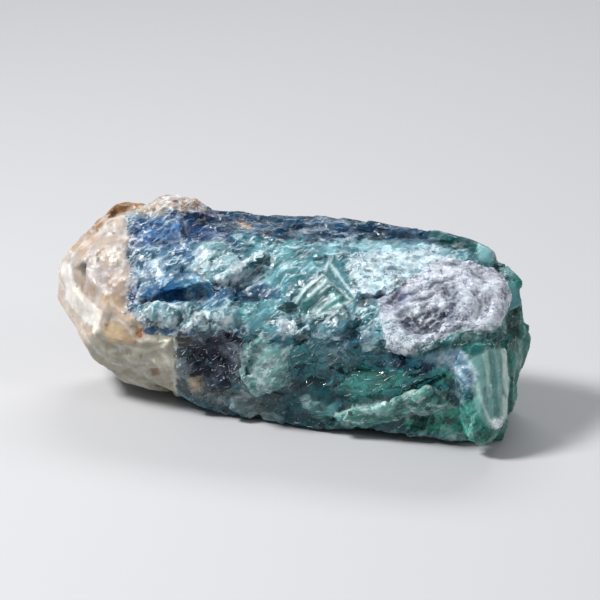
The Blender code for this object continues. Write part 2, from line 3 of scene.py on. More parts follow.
import bmesh
import bpy
import numpy as np
from mathutils import Matrix, Vector, kdtree, noise


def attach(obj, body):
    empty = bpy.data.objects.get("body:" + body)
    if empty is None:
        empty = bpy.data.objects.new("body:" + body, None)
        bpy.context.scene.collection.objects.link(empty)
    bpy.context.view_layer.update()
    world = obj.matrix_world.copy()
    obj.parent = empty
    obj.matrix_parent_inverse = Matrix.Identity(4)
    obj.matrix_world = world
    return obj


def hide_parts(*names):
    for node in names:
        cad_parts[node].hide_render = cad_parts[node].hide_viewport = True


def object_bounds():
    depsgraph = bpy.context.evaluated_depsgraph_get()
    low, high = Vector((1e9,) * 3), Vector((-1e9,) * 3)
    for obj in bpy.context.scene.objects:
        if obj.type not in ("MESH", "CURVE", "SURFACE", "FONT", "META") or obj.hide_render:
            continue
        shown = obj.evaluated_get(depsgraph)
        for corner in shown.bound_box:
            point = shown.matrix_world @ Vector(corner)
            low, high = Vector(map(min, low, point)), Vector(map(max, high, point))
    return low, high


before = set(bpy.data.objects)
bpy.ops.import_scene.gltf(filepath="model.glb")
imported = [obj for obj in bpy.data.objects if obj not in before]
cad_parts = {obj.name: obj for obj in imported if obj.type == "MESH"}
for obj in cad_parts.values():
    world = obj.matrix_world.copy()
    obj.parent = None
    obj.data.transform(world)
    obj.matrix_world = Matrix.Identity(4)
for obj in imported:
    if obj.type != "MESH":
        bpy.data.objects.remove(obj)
cad_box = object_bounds()

MM = 0.001

# The camera's turn round the stone and its height, in degrees. Outlines of the coloured and frosted
# patches are given on its frame, 600 units across, and are laid on the stone along the line of sight.
SIGHT = (18.0, 20.0)
FRAME_UNITS = 600
FRAME_WIDTH_MM = 98.8
FRAME_ZERO = (287.0, 400.0)
UNITS_PER_MM = 6.07
AIM_DEPTH_MM = 5.0
CAMERA_DISTANCE = 0.6
SENSOR_WIDTH = 36.0
FLOOR_HALF = 1.5
# Lamps: name, place, aim, width and height (m), and power (W).
LAMPS = [
    ("key", (-0.24, -0.16, 0.40), (0, 0, 0.015), (0.12, 0.12), 3.0),
    ("top_back", (-0.05, 0.34, 0.34), (0, 0, 0.015), (0.30, 0.12), 0.8),
    ("right_side", (0.42, -0.12, 0.22), (0.02, 0, 0.015), (0.12, 0.20), 0.5),
]

# The broken surface: the size of its mesh (mm), and how the octahedron that it cleaves along lies.
GRAIN = 0.365
CLEAVAGE_TURN = (34.0, -12.0, 21.0)
# Small flats that break up each kind of surface: how far apart they lie (mm), how far they lean
# towards the cleavage, how far they stand in or out (mm), the seed, and the way that they are drawn
# out, as degrees seen by the camera and as a length to width.
FLATS = {
    "hackly": (1.60, 0.60, 0.12, 3, 38, 1.6),
    "glassy": (2.60, 0.20, 0.03, 5, 34, 2.4),
    "bladed": (1.00, 0.45, 0.10, 13, 60, 5.0),
    "banded": (2.20, 0.22, 0.07, 7, -7, 4.0),
    "fluted": (1.50, 0.20, 0.06, 9, 97, 6.0),
    "worn": (3.40, 0.16, 0.08, 11, 60, 1.2),
}
# The most that a flat moves the surface, the stone's area for counting shards, how far all of the
# surface is drawn in (mm), and the angle from which an edge is sharp (degrees).
MOST_STEP = 0.34
SURFACE_AREA = 9000.0
INSET = 0.04
SHARP_FROM = 30.0
# The stone's cream end, its middle line, the way that its front looks, and its clear part (mm).
CREAM_EDGE = -23.2
MIDDLE_Y, MIDDLE_Z = 1.0, 15.0
FRONT_WAY = (-0.886, 0.34)
CLEAR_TOP = 15.5
CLEAR_ENDS = (-15.0, 32.0)
# Veils and clear pockets: direction seen by the camera, size (mm), length to width, weight, seed.
VEILS = [(35, 2.4, 2.2, 0.45, 3.0), (-52, 1.3, 3.0, 0.30, 13.0), (20, 0.6, 2.5, 0.25, 23.0)]
# The materials in order, how cloudy crystal is where it turns milky and then frosted, and how far
# that is speckled.
CLEAR, MILKY, FROSTED, WORN = range(4)
MILKY_FROM, FROSTED_FROM = 0.32, 0.64
SPECKLE = 0.07
# How far colour and cloudiness keep to whole shards, and how much they differ between shards.
# Shards are a size in mm, drawn out along a way seen by the camera by a length to width.
SHARD_SIZE = 1.5
SHARD_HOLD = 0.75
SHARD_CLOUD = 0.11
SHARD_SHADE = 0.26
SHARD_WAY, SHARD_LENGTH, SHARD_SEED = 38, 1.5, 19


def srgb(code):
    """A colour from its code as the shader reads it."""
    values = [int(code[i:i + 2], 16) / 255 for i in (1, 3, 5)]
    return tuple(v / 12.92 if v <= 0.04045 else ((v + 0.055) / 1.055) ** 2.4 for v in values)


def axes_of(azimuth, elevation):
    """Right, up and towards the viewer, for a line of sight."""
    a, e = math.radians(azimuth), math.radians(elevation)
    towards = np.array((math.sin(a) * math.cos(e), -math.cos(a) * math.cos(e), math.sin(e)))
    right = np.array((math.cos(a), math.sin(a), 0.0))
    return right, np.cross(towards, right), towards


def turn_along(degrees):
    """The turn that lays X across a direction seen by the camera, Y along it and Z to the camera."""
    right, up, towards = (Vector(axis) for axis in axes_of(*SIGHT))
    angle = math.radians(degrees)
    along = right * math.cos(angle) + up * math.sin(angle)
    return tuple(Matrix((along.cross(towards), along, towards)).to_euler())


def smooth(value, low, high):
    """A soft step from 0 at the low value to 1 at the high one."""
    t = np.clip((value - low) / (high - low), 0, 1)
    return t * t * (3 - 2 * t)


# Colours, by the part of the stone
CREAM = srgb("#c6baac")
BLUE = srgb("#4f76a0")
TEAL = srgb("#5f979f")
DEEP_TEAL = srgb("#0c5a66")
GREEN = srgb("#1f6a60")
END_GREEN = srgb("#2f7c72")
# Clear crystal: what it lets through and how strongly it absorbs, how much of it is clear and not
# fine haze, its shade from flat to flat, and how far its colours are lifted, as light passes twice.
CLEAR_COLOUR = (0.10, 0.72, 0.74, 1.0)
CLEAR_DENSITY = 88.0
CLEAR_WEIGHT = 0.84
GLASS_SHADE = (0.62, 0.84, 0.86, 1.0)
GLASS_LIFT = 0.48
FLUORITE_IOR = 1.434
# How small flats are turned, and how they are drawn out: across, along and into the stone.
LARGE_TURN, SMALL_TURN = (0.4, 0.2, 0.6), (0.3, 0.8, 0.1)
UNSTRETCHED = (1.0, 1.0, 1.0)
BLADED = (1.0, 0.4, 0.8)
DEEPER = (0.16, 0.34, 0.40, 1.0)
VEIL_WHITE = (0.80, 0.89, 0.92, 1.0)
DARK_GRAIN = (0.36, 0.40, 0.50, 1.0)
DARK_CRACK = (0.10, 0.12, 0.20, 1.0)
IRON_WASH = (0.86, 0.70, 0.50, 1.0)
CREAM_WHITE = (0.78, 0.76, 0.73, 1.0)

# How much of its stray an edge takes, and the least cloudiness outside the open clear part.
STRAY_SHARE = 0.5
LEAST_CLOUD = 0.42
SURFACES = ("smooth", "banded", "fluted", "bladed", "plateau", "deep", "flecked", "crisp")
# Patches: outline on the frame, how far its edge fades and strays (mm), colour, cloudiness
# (0 clear, 1 white and solid), how strongly it is laid over what is below, its surface, and how
# far it stands proud (mm).
PATCHES = [
    ("upper_face", [(128, 205), (200, 198), (330, 216), (480, 241), (503, 300), (455, 330), (390, 350),
     (345, 335), (262, 330), (200, 328), (138, 315)], 1.2, 1.2, "#629aa3", 0.52, 1.0, "", 0.0),
    ("blue_zone", [(129, 212), (185, 199), (235, 220), (247, 262), (225, 302), (200, 305), (131, 305)], 2.6,
     3.2, "#4d7297", 0.5, 1.0, "", 0.0),
    ("blue_edge", [(129, 222), (148, 218), (146, 244), (140, 262), (141, 290), (134, 306), (129, 300)], 2.0,
     2.6, "#2f4e7e", 0.48, 0.85, "", 0.0),
    ("indigo", [(172, 212), (225, 220), (242, 262), (205, 244), (185, 240)], 1.0, 1.4, "#26406c", 0.36, 0.85,
     "deep", 0.0),
    ("blue_block", [(148, 222), (180, 219), (185, 240), (175, 243), (148, 241)], 0.4, 0.5, "#668fbe", 0.56, 0.9,
     "", 0.2),
    ("blue_slab", [(133, 247), (180, 247), (195, 270), (200, 284), (178, 284), (140, 300), (133, 285)], 0.8,
     1.8, "#6288a1", 0.57, 0.85, "", 0.2),
    # The blue of the blue zone, painted darker as shade in the trough above the shelf.
    ("blue_hollow", [(141, 303), (150, 291), (185, 281), (214, 283), (213, 302), (170, 302)], 0.8, 0.6,
     "#1f6799", 0.44, 1.0, "deep", -0.1),
    ("hollow_light", [(184, 284), (198, 280), (214, 283), (213, 300), (196, 303), (188, 296)], 0.8, 0.8,
     "#70b6d3", 0.48, 0.8, "", 0.0),
    ("shelf", [(137, 319), (140, 307), (152, 303), (195, 303), (212, 313), (225, 308), (238, 305), (241, 318),
     (228, 328), (195, 331), (160, 325)], 0.4, 0.9, "#58838b", 0.57, 0.9, "", 0.35),
    ("nodules", [(194, 271), (192, 256), (205, 243), (222, 240), (240, 255), (243, 268), (228, 280),
     (205, 278)], 0.6, 1.8, "#71969b", 0.6, 0.9, "", 0.2),
    ("nodule_light", [(197, 260), (203, 247), (211, 250), (212, 262), (204, 266)], 0.8, 0.8, "#d0dddf", 0.84,
     0.9, "", 0.1),
    ("pale_wedge", [(246, 262), (275, 241), (300, 236), (302, 262), (288, 290), (262, 285), (250, 279)], 0.9,
     1.2, "#66a0a6", 0.52, 0.9, "", 0.0),
    ("navy_fan", [(228, 279), (252, 268), (262, 284), (285, 291), (294, 300), (262, 300), (235, 303),
     (222, 292)], 0.6, 1.0, "#21506f", 0.42, 0.95, "deep", -0.2),
    ("teal_apron", [(240, 303), (295, 296), (302, 331), (262, 329), (238, 319)], 0.9, 1.2, "#6ea6ac", 0.5, 0.8,
     "", 0.0),
    ("grey_wedge", [(232, 283), (238, 272), (250, 268), (262, 273), (262, 284), (248, 292)], 0.5, 0.6,
     "#b4cfda", 0.6, 0.85, "crisp", 0.1),
    ("crevice", [(291, 311), (296, 310), (307, 324), (302, 327), (295, 320)], 0.4, 1.4, "#16232b", 0.46, 0.75,
     "deep", -0.08),
    ("grey_crumbs", [(279, 324), (287, 313), (298, 326), (292, 332), (280, 331)], 0.4, 0.8, "#c3ccd2", 0.8, 0.8,
     "", 0.1),
    ("facet_upper", [(322, 275), (331, 257), (342, 262), (356, 298), (350, 303)], 0.3, 0.3, "#356f76", 0.46,
     0.95, "smooth", -0.1),
    ("facet_left", [(297, 302), (303, 290), (322, 275), (333, 288), (322, 313), (305, 318)], 0.3, 0.3,
     "#2b6163", 0.46, 0.95, "smooth", 0.15),
    ("facet_right", [(333, 288), (322, 275), (350, 300), (345, 306), (322, 313)], 0.3, 0.3, "#43807f", 0.48,
     0.95, "smooth", 0.1),
    ("facet_low", [(303, 318), (322, 313), (345, 304), (352, 312), (335, 322), (315, 326)], 0.4, 0.4, "#2a5c60",
     0.46, 0.9, "", -0.1),
    # Painted shade: the dark gap below the triangular facets.
    ("shaded_gap", [(345, 322), (372, 328), (384, 345), (352, 345), (330, 334)], 0.8, 1.2, "#266274", 0.44, 0.85,
     "deep", 0.0),
    ("bright_facet", [(345, 262), (358, 255), (386, 251), (394, 262), (388, 291), (366, 297), (352, 290)], 0.6,
     0.9, "#cde4e9", 0.8, 0.9, "", 0.25),
    ("frost_rise", [(383, 250), (430, 248), (458, 260), (420, 276), (395, 291), (386, 276)], 0.8, 1.1,
     "#c3d8df", 0.8, 0.9, "", 0.0),
    ("frosted_plateau", [(374, 301), (400, 284), (440, 262), (470, 263), (500, 279), (504, 300), (492, 323),
     (485, 330), (452, 327), (425, 341), (400, 351), (385, 341), (377, 320)], 0.35, 0.8, "#d2d5de", 0.97, 1.0,
     "plateau", 0.9),
    # Painted shade: the dark hollow sunk into the frosted plateau.
    ("shaded_hollow", [(394, 320), (408, 307), (430, 308), (443, 318), (438, 331), (420, 337), (403, 335)], 0.6,
     3.0, "#0f1a3c", 0.88, 0.95, "plateau", -0.35),
    # Painted shade: the dark cleft sunk into the frosted plateau.
    ("shaded_cleft", [(438, 290), (450, 288), (458, 325), (444, 327)], 0.7, 3.0, "#283560", 0.88, 0.85,
     "plateau", -0.3),
    ("mauve_step", [(385, 300), (402, 292), (412, 300), (396, 312)], 0.9, 1.4, "#6d7da4", 0.75, 0.7, "plateau",
     -0.2),
    ("plateau_knob", [(408, 307), (418, 305), (422, 313), (412, 318)], 0.4, 0.3, "#f2f5f8", 0.98, 1.0, "crisp",
     0.5),
    ("plateau_foot", [(378, 324), (392, 318), (402, 334), (412, 344), (398, 350), (386, 341)], 0.7, 0.8,
     "#cfdce4", 0.95, 0.8, "plateau", 0.2),
    ("top_band", [(184, 194), (224, 202), (314, 214), (416, 222), (472, 234), (488, 244), (478, 260),
     (458, 252), (431, 243), (372, 242), (322, 244), (272, 238), (226, 232), (190, 220)], 0.6, 0.8, "#093a5a",
     0.44, 0.95, "banded", 0.0),
    ("top_band_green", [(430, 224), (472, 234), (488, 244), (478, 260), (452, 250), (426, 240)], 1.2, 0.8,
     "#0b5550", 0.44, 0.9, "banded", 0.0),
    ("top_stripe", [(300, 247), (345, 240), (400, 240), (432, 246), (400, 251), (345, 252)], 0.6, 0.7,
     "#8fb9c2", 0.6, 0.7, "banded", 0.1),
    ("plum_facet", [(190, 212), (204, 208), (214, 214), (200, 219)], 0.6, 0.6, "#3c3250", 0.46, 0.85, "deep",
     0.0),
    ("crust_top", [(130, 205), (150, 190), (165, 184), (192, 186), (214, 198), (206, 205), (190, 208),
     (165, 210), (150, 215), (134, 216)], 1.6, 3.6, "#ccb69e", 0.82, 0.85, "", 0.0),
    ("brown_crest", [(160, 202), (176, 198), (190, 199), (208, 203), (196, 209), (178, 210)], 1.2, 3.0,
     "#8d6d55", 0.76, 0.7, "", 0.0),
    ("iron_crest", [(238, 222), (254, 224), (253, 229), (240, 228)], 0.6, 1.0, "#b98d52", 0.55, 0.6, "", 0.0),
    ("corner_facet", [(475, 243), (486, 246), (493, 254), (492, 265), (475, 262)], 0.3, 0.3, "#86bdbf", 0.45,
     0.9, "smooth", 0.1),
    ("end_knob", [(500, 284), (516, 281), (525, 292), (521, 306), (505, 311)], 0.4, 0.4, "#5b979c", 0.42, 0.9,
     "smooth", 0.2),
    ("end_window", [(502, 313), (525, 301), (529, 330), (524, 356), (505, 346)], 0.4, 0.5, "#0c4a40", 0.42,
     0.95, "deep", -0.1),
    ("under_rim", [(428, 344), (455, 333), (486, 335), (500, 322), (506, 345), (500, 352), (466, 356),
     (432, 356)], 0.6, 0.8, "#1f6460", 0.42, 0.85, "deep", 0.0),
    ("tongue", [(463, 358), (478, 348), (500, 346), (505, 380), (503, 416), (495, 424), (482, 424), (473, 414),
     (466, 398), (470, 380)], 0.5, 0.4, "#79a5a1", 0.5, 0.95, "fluted", 0.2),
    ("tongue_tip", [(482, 416), (492, 413), (500, 414), (496, 423), (486, 424)], 0.5, 0.5, "#ffffff", 0.9, 1.0,
     "crisp", 0.15),
    ("tongue_foot", [(462, 412), (474, 418), (484, 427), (503, 420), (506, 432), (490, 444), (462, 440)], 0.5,
     0.6, "#1f7462", 0.5, 0.9, "bladed", -0.1),
    ("blue_facet", [(430, 350), (455, 345), (471, 372), (462, 386), (440, 369)], 0.5, 0.7, "#84a8bd", 0.48,
     0.85, "crisp", 0.0),
    ("foot_teal", [(286, 380), (318, 371), (350, 382), (346, 400), (332, 424), (296, 422), (274, 404)], 0.8,
     1.6, "#12565e", 0.48, 0.9, "deep", 0.0),
    ("lower_ledge", [(328, 421), (345, 409), (390, 399), (420, 385), (430, 384), (444, 398), (440, 406),
     (408, 409), (395, 417), (360, 425)], 0.35, 0.5, "#6eaf9f", 0.52, 0.95, "crisp", 0.4),
    ("ledge_left", [(303, 392), (318, 399), (338, 409), (352, 420), (330, 424), (308, 408)], 0.5, 1.2,
     "#5c9a95", 0.5, 0.7, "crisp", 0.1),
    ("ledge_shadow", [(395, 421), (440, 407), (465, 400), (479, 425), (470, 441), (430, 431)], 0.6, 0.6,
     "#3dab93", 0.5, 0.9, "bladed", 0.0),
    ("deep_strip", [(246, 334), (300, 336), (380, 352), (430, 352), (436, 372), (400, 366), (340, 352),
     (290, 346), (262, 340)], 0.8, 1.4, "#0a4a5c", 0.16, 0.85, "", 0.0),
    ("green_glow", [(340, 385), (362, 366), (400, 372), (402, 391), (360, 399)], 1.2, 1.0, "#44cfae", 0.12,
     0.85, "", 0.0),
    ("emerald_spot", [(428, 366), (440, 364), (447, 374), (440, 384), (430, 380)], 0.8, 0.8, "#2fc4a4", 0.42,
     0.85, "", 0.0),
    ("navy_left", [(286, 352), (330, 350), (338, 368), (300, 392), (270, 398), (288, 372)], 1.0, 1.4, "#062f3c",
     0.12, 0.85, "", 0.0),
    ("navy_right", [(370, 352), (426, 350), (430, 368), (404, 372), (374, 366)], 1.0, 1.2, "#0c4666", 0.36,
     0.85, "deep", 0.0),
    ("pale_plate", [(243, 345), (262, 337), (283, 347), (291, 365), (285, 383), (255, 392), (243, 375)], 0.5,
     0.7, "#7eaca5", 0.54, 0.95, "crisp", 0.6),
    ("sparks", [(318, 352), (340, 346), (348, 358), (332, 368), (318, 366)], 0.9, 1.6, "#6f97a4", 0.36, 0.7,
     "flecked", 0.1),
    ("grey_window", [(93, 333), (110, 322), (145, 333), (176.6, 335), (176.6, 404), (150, 404), (108, 386),
     (84, 360)], 0.15, 0.2, "#aeab9b", 0.7, 1.0, "cream", 0.0),
    ("brown_sliver", [(177, 334), (207, 331), (186, 352), (178, 359)], 0.3, 0.4, "#5a5240", 0.48, 0.9, "", 0.0),
    ("grey_foot", [(177, 360), (200, 350), (206, 375), (226, 386), (262, 395), (266, 418), (230, 409),
     (200, 397), (177, 389)], 0.5, 0.8, "#77827f", 0.5, 0.85, "", 0.0),
    ("navy_glass", [(188, 346), (206, 336), (246, 330), (246, 346), (242, 380), (224, 392), (198, 386),
     (183, 368)], 0.8, 1.4, "#0a1b38", 0.42, 1.0, "flecked", -0.1),
    ("white_knot", [(216, 397), (232, 396), (236, 407), (222, 408)], 0.4, 1.0, "#a3b1b0", 0.7, 0.7, "", 0.2),
    ("beige_knot", [(188, 379), (200, 377), (205, 389), (193, 391)], 0.6, 1.6, "#bba685", 0.9, 0.8, "cream",
     0.1),
    ("cream_shade", [(84, 272), (112, 250), (133, 262), (132, 292), (108, 290), (90, 302)], 1.6, 2.4, "#b3a292",
     0.9, 0.6, "cream", 0.0),
    ("cream_light", [(64, 262), (72, 238), (95, 228), (118, 232), (110, 256), (88, 268)], 1.6, 1.8, "#c2b7aa",
     0.98, 0.6, "cream", 0.0),
    ("cream_cloud", [(96, 238), (112, 226), (126, 236), (124, 262), (108, 268), (98, 254)], 1.4, 2.4, "#a9927c",
     0.92, 0.6, "cream", 0.0),
    ("brown_cloud", [(78, 288), (90, 280), (100, 290), (94, 302), (84, 300)], 1.6, 2.4, "#a98560", 0.92, 0.55,
     "cream", 0.0),
    ("tan_cloud", [(108, 276), (120, 266), (130, 276), (122, 298), (108, 292)], 1.6, 2.4, "#a6835e", 0.92, 0.55,
     "cream", 0.0),
    ("cream_rim", [(58, 262), (68, 258), (74, 278), (86, 300), (106, 312), (100, 330), (84, 324), (64, 300)],
     0.7, 1.2, "#ebe6df", 0.98, 0.9, "cream", 0.0),
    ("iron_crust", [(82, 234), (92, 212), (108, 200), (135, 194), (150, 200), (138, 208), (124, 212),
     (108, 222), (94, 234)], 0.6, 2.4, "#996a1e", 0.92, 0.9, "cream", 0.1),
    ("iron_drift", [(70, 250), (84, 234), (96, 236), (88, 252), (76, 264)], 1.0, 3.0, "#b58a55", 0.92, 0.6,
     "cream", 0.0),
    ("yellow_facet", [(101, 319), (135, 310), (146, 325), (142, 341), (110, 347)], 0.9, 1.0, "#c9b18d", 0.86,
     0.8, "cream", 0.0),
    ("iron_spot", [(135, 330), (144, 329), (147, 337), (138, 341)], 0.6, 2.6, "#a06020", 0.92, 0.85, "cream",
     0.0),
    ("iron_fleck", [(153, 370), (156, 368), (160, 371), (158, 375), (154, 374)], 0.5, 2.0, "#7d4a1c", 0.92, 0.8,
     "cream", 0.0),
]

# Lines: corners on the frame, half width (mm), colour, cloudiness and strength. Pale ones stand up
# as ridges and dark ones are sunk as cracks, by so many mm.
RIDGE_LIFT = 0.10
CRACK_DEPTH = 0.22
STREAKS = [
    ([(176.8, 308), (177.2, 335), (176.4, 389)], 0.12, "#c9cfc6", 0.75, 0.8),
    ([(145, 241), (160, 242), (178, 241)], 0.25, "#27457c", 0.3, 0.8),
    # Painted highlight along the lit ridge above the navy fan.
    ([(225, 277), (246, 262), (270, 251)], 0.22, "#d3e4e4", 0.8, 0.8),
    ([(193, 270), (205, 279), (228, 281), (243, 269)], 0.18, "#cfdfe1", 0.8, 0.7),
    ([(296, 303), (303, 290), (322, 275), (331, 257)], 0.16, "#d6e6e5", 0.7, 0.85),
    ([(322, 275), (350, 301), (323, 313), (303, 318)], 0.12, "#c5dcdb", 0.7, 0.8),
    ([(328, 262), (342, 282), (356, 300)], 0.12, "#cfe2e2", 0.7, 0.7),
    ([(337, 257), (350, 276), (362, 298)], 0.16, "#26535a", 0.45, 0.8),
    ([(344, 260), (356, 276), (368, 297)], 0.12, "#dbe9e9", 0.7, 0.7),
    ([(143, 318), (152, 308), (160, 304)], 0.14, "#dfe9ea", 0.75, 0.8),
    ([(158, 327), (172, 318), (180, 306)], 0.12, "#dfe9ea", 0.75, 0.7),
    ([(186, 329), (200, 316), (212, 312)], 0.14, "#dfe9ea", 0.75, 0.8),
    ([(205, 329), (215, 318), (228, 309)], 0.14, "#dfe9ea", 0.75, 0.8),
    ([(222, 327), (232, 316), (240, 306)], 0.12, "#dfe9ea", 0.75, 0.7),
    ([(236, 286), (258, 272)], 0.1, "#44586c", 0.5, 0.8),
    ([(240, 290), (262, 278)], 0.1, "#44586c", 0.5, 0.8),
    ([(234, 281), (252, 269)], 0.1, "#d3dce2", 0.75, 0.8),
    ([(150, 243), (166, 244), (180, 241), (187, 232), (184, 221)], 0.12, "#bcd3ea", 0.7, 0.7),
    ([(183, 283), (196, 266), (199, 250)], 0.12, "#cfe0ee", 0.7, 0.6),
    ([(140, 298), (160, 278), (172, 250)], 0.12, "#c4d8ec", 0.7, 0.6),
    ([(150, 298), (170, 280), (178, 262)], 0.12, "#c4d8ec", 0.7, 0.6),
    ([(484, 352), (487, 380), (488, 410)], 0.22, "#3f7a74", 0.46, 0.6),
    # Painted highlight down the tongue's left side.
    ([(463, 360), (470, 382), (476, 402), (482, 416)], 0.12, "#cfe3da", 0.52, 0.6),
    ([(485, 330), (492, 323), (504, 300), (500, 281)], 0.16, "#f0f3f6", 0.95, 0.7),
    ([(400, 351), (425, 341), (452, 327), (485, 330)], 0.14, "#eef2f5", 0.95, 0.6),
    ([(355, 298), (374, 298), (390, 294), (400, 287)], 0.16, "#3a4a62", 0.45, 0.9),
    ([(385, 306), (402, 299), (425, 291), (432, 287), (450, 282)], 0.18, "#2c3048", 0.75, 0.9),
    ([(388, 303), (398, 292), (404, 286)], 0.16, "#2c3048", 0.75, 0.8),
    ([(446, 268), (456, 266), (462, 262)], 0.16, "#3a4560", 0.75, 0.9),
    ([(243, 350), (243, 376), (256, 392), (272, 388), (286, 382), (291, 366), (284, 347)], 0.16, "#c3d9d3",
     0.75, 0.7),
    ([(262, 335), (252, 346), (248, 358)], 0.2, "#a5c6bd", 0.7, 0.7),
    # Painted highlight along the lower ledge's lit upper edge, over these two lines.
    ([(330, 414), (352, 407), (390, 398), (420, 385), (430, 384)], 0.16, "#cfe0d8", 0.75, 0.8),
    ([(430, 384), (443, 397), (442, 405), (425, 408), (400, 414)], 0.16, "#bfd8cc", 0.72, 0.7),
    ([(478, 352), (480, 372), (481, 392)], 0.2, "#b7d2cb", 0.52, 0.5),
    # Painted highlight down the right of the tongue.
    ([(497, 350), (500, 378), (499, 412)], 0.3, "#e2efe8", 0.54, 0.7),
    ([(504, 350), (506, 380), (505, 414)], 0.2, "#1d5a4e", 0.42, 0.9),
    ([(524, 296), (529, 312), (531, 326), (528, 342), (522, 362)], 0.5, "#d3e0de", 0.86, 0.9),
    ([(476, 246), (474, 262)], 0.14, "#b7dad6", 0.66, 0.7),
    ([(493, 268), (510, 273), (518, 281)], 0.2, "#a9cbc9", 0.6, 0.7),
    ([(138, 313), (170, 320), (200, 326)], 0.14, "#c3d2d0", 0.75, 0.6),
    ([(150, 325), (168, 313), (176, 306)], 0.12, "#d3e0e0", 0.75, 0.6),
    ([(415, 368), (440, 381)], 0.12, "#9fc1cc", 0.62, 0.8),
    ([(305, 301), (314, 293), (326, 282)], 0.07, "#a8c9c8", 0.52, 0.7),
    ([(308, 309), (320, 299), (334, 287)], 0.07, "#1c474c", 0.45, 0.7),
    ([(318, 311), (330, 302), (341, 295)], 0.07, "#b6d4d2", 0.52, 0.7),
    ([(328, 280), (338, 292), (347, 300)], 0.07, "#1f4d52", 0.45, 0.7),
    ([(421, 353), (431, 356), (446, 366)], 0.09, "#8fbccb", 0.6, 0.8),
    ([(421, 357), (430, 361), (441, 368)], 0.09, "#8fbccb", 0.6, 0.8),
    ([(438, 353), (452, 367), (464, 384)], 0.1, "#c3d6e4", 0.62, 0.7),
    ([(444, 350), (457, 364), (468, 380)], 0.12, "#4d7891", 0.46, 0.7),
    ([(452, 348), (463, 360), (471, 372)], 0.1, "#cbdce6", 0.62, 0.7),
    ([(408, 303), (425, 300), (440, 290), (452, 291)], 0.1, "#2c3048", 0.75, 0.9),
    ([(440, 292), (444, 306), (441, 318)], 0.1, "#2c3048", 0.75, 0.8),
    ([(462, 268), (470, 279), (482, 286)], 0.1, "#3a4560", 0.75, 0.8),
    ([(466, 296), (474, 306), (470, 320)], 0.1, "#3a4560", 0.75, 0.7),
    ([(428, 262), (446, 270), (470, 268)], 0.1, "#3a4560", 0.75, 0.7),
    ([(75, 290), (90, 305), (102, 312), (95, 330)], 0.3, "#f1ece3", 0.98, 0.8),
    ([(110, 352), (128, 346), (150, 350), (168, 344)], 0.16, "#d9d8cc", 0.8, 0.4),
    ([(120, 374), (138, 366), (158, 372)], 0.16, "#8d8873", 0.72, 0.4),
]

# The side away from the camera, drawn the same way along a line of sight from behind.
BACK_SIGHT = (198.0, 14.0)
BACK_PATCHES = [
    ("back_frost", [(300, 262), (360, 250), (410, 262), (420, 305), (372, 322), (310, 312)], 0.8, 1.4,
     "#b7c9d2", 0.85, 0.9, "plateau", 0.0),
    ("back_veil", [(150, 300), (205, 262), (270, 258), (300, 285), (282, 330), (210, 345), (160, 335)], 0.8,
     1.6, "#79acae", 0.52, 0.85, "", 0.0),
    ("back_dark", [(240, 345), (330, 335), (430, 345), (440, 385), (330, 398), (250, 390)], 1.0, 1.6, "#2c7a7c",
     0.14, 0.9, "", 0.0),
    ("back_blue", [(390, 250), (440, 246), (448, 300), (424, 330), (400, 300)], 1.6, 1.6, "#5580aa", 0.5, 0.8,
     "", 0.0),
    ("back_stain", [(446, 262), (478, 255), (492, 290), (470, 322), (448, 310)], 1.5, 2.0, "#b9966c", 0.9, 0.6,
     "cream", 0.0),
]

# Flecks of broken crystal, in metres: the material they take and how they grow. Scratches lie on
# the surface, and veils hang under it along the cleavage.
SCRATCH_WAY = (0.77, 0.15, 0.62)
BAND_WAY = (0.99, 0.05, -0.12)
CRACK_WAY = (0.50, 0.35, -0.79)
FLECK_SOCKETS = {
    "Float": ("Flecks Per Square Metre", "Shortest", "Longest", "Width Share", "Thickness Share", "Shallowest",
              "Deepest", "Lie On Surface", "Wander", "Colour Share"),
    "Vector": ("Along", "Facing"), "Int": ("Seed",), "String": ("Where",), "Color": ("Colour",),
    "Material": ("Material",)}
SCRATCH = {"Width Share": 0.07, "Thickness Share": 0.06, "Shallowest": -0.00001, "Deepest": 0.00004,
           "Along": SCRATCH_WAY, "Lie On Surface": 1.0, "Facing": (0.0, 0.0, 1.0), "Colour Share": 0.85,
           "Where": "scratched"}
VEIL = {"Shortest": 0.0010, "Longest": 0.0034, "Thickness Share": 0.03, "Shallowest": 0.0012,
        "Lie On Surface": 0.0, "Wander": 0.3, "Colour": (0.36, 0.70, 0.70, 1.0), "Colour Share": 0.6,
        "Where": "veiled"}
FLECKS = [
    # Tiny chips all over the crystal: small real chips, painted near white as glints.
    (FROSTED, {**SCRATCH, "Flecks Per Square Metre": 200000.0, "Shortest": 0.0001, "Longest": 0.0005,
               "Width Share": 0.6, "Thickness Share": 0.35, "Shallowest": -0.00002, "Wander": 0.9, "Seed": 2,
               "Colour": (0.90, 0.95, 0.96, 1.0), "Colour Share": 0.9}),
    (FROSTED, {**SCRATCH, "Flecks Per Square Metre": 400000.0, "Shortest": 0.0005, "Longest": 0.0030,
               "Width Share": 0.08, "Along": BAND_WAY, "Wander": 0.25, "Seed": 8,
               "Colour": (0.80, 0.90, 0.93, 1.0), "Where": "band_scratched"}),
    (FROSTED, {**SCRATCH, "Flecks Per Square Metre": 560000.0, "Shortest": 0.0004, "Longest": 0.0022,
               "Wander": 0.45, "Seed": 3, "Colour": (0.86, 0.93, 0.94, 1.0)}),
    (FROSTED, {**SCRATCH, "Flecks Per Square Metre": 160000.0, "Shortest": 0.0003, "Longest": 0.0014,
               "Along": CRACK_WAY, "Wander": 0.35, "Seed": 4, "Colour": (0.80, 0.88, 0.90, 1.0),
               "Colour Share": 0.8}),
    (MILKY, {**VEIL, "Flecks Per Square Metre": 22000.0, "Width Share": 0.16, "Deepest": 0.0050,
             "Along": SCRATCH_WAY, "Facing": (0.10, -0.75, 0.65), "Seed": 5}),
    (MILKY, {**VEIL, "Flecks Per Square Metre": 15000.0, "Width Share": 0.14, "Deepest": 0.0045,
             "Along": CRACK_WAY, "Facing": (0.72, -0.60, -0.35), "Seed": 6}),
]


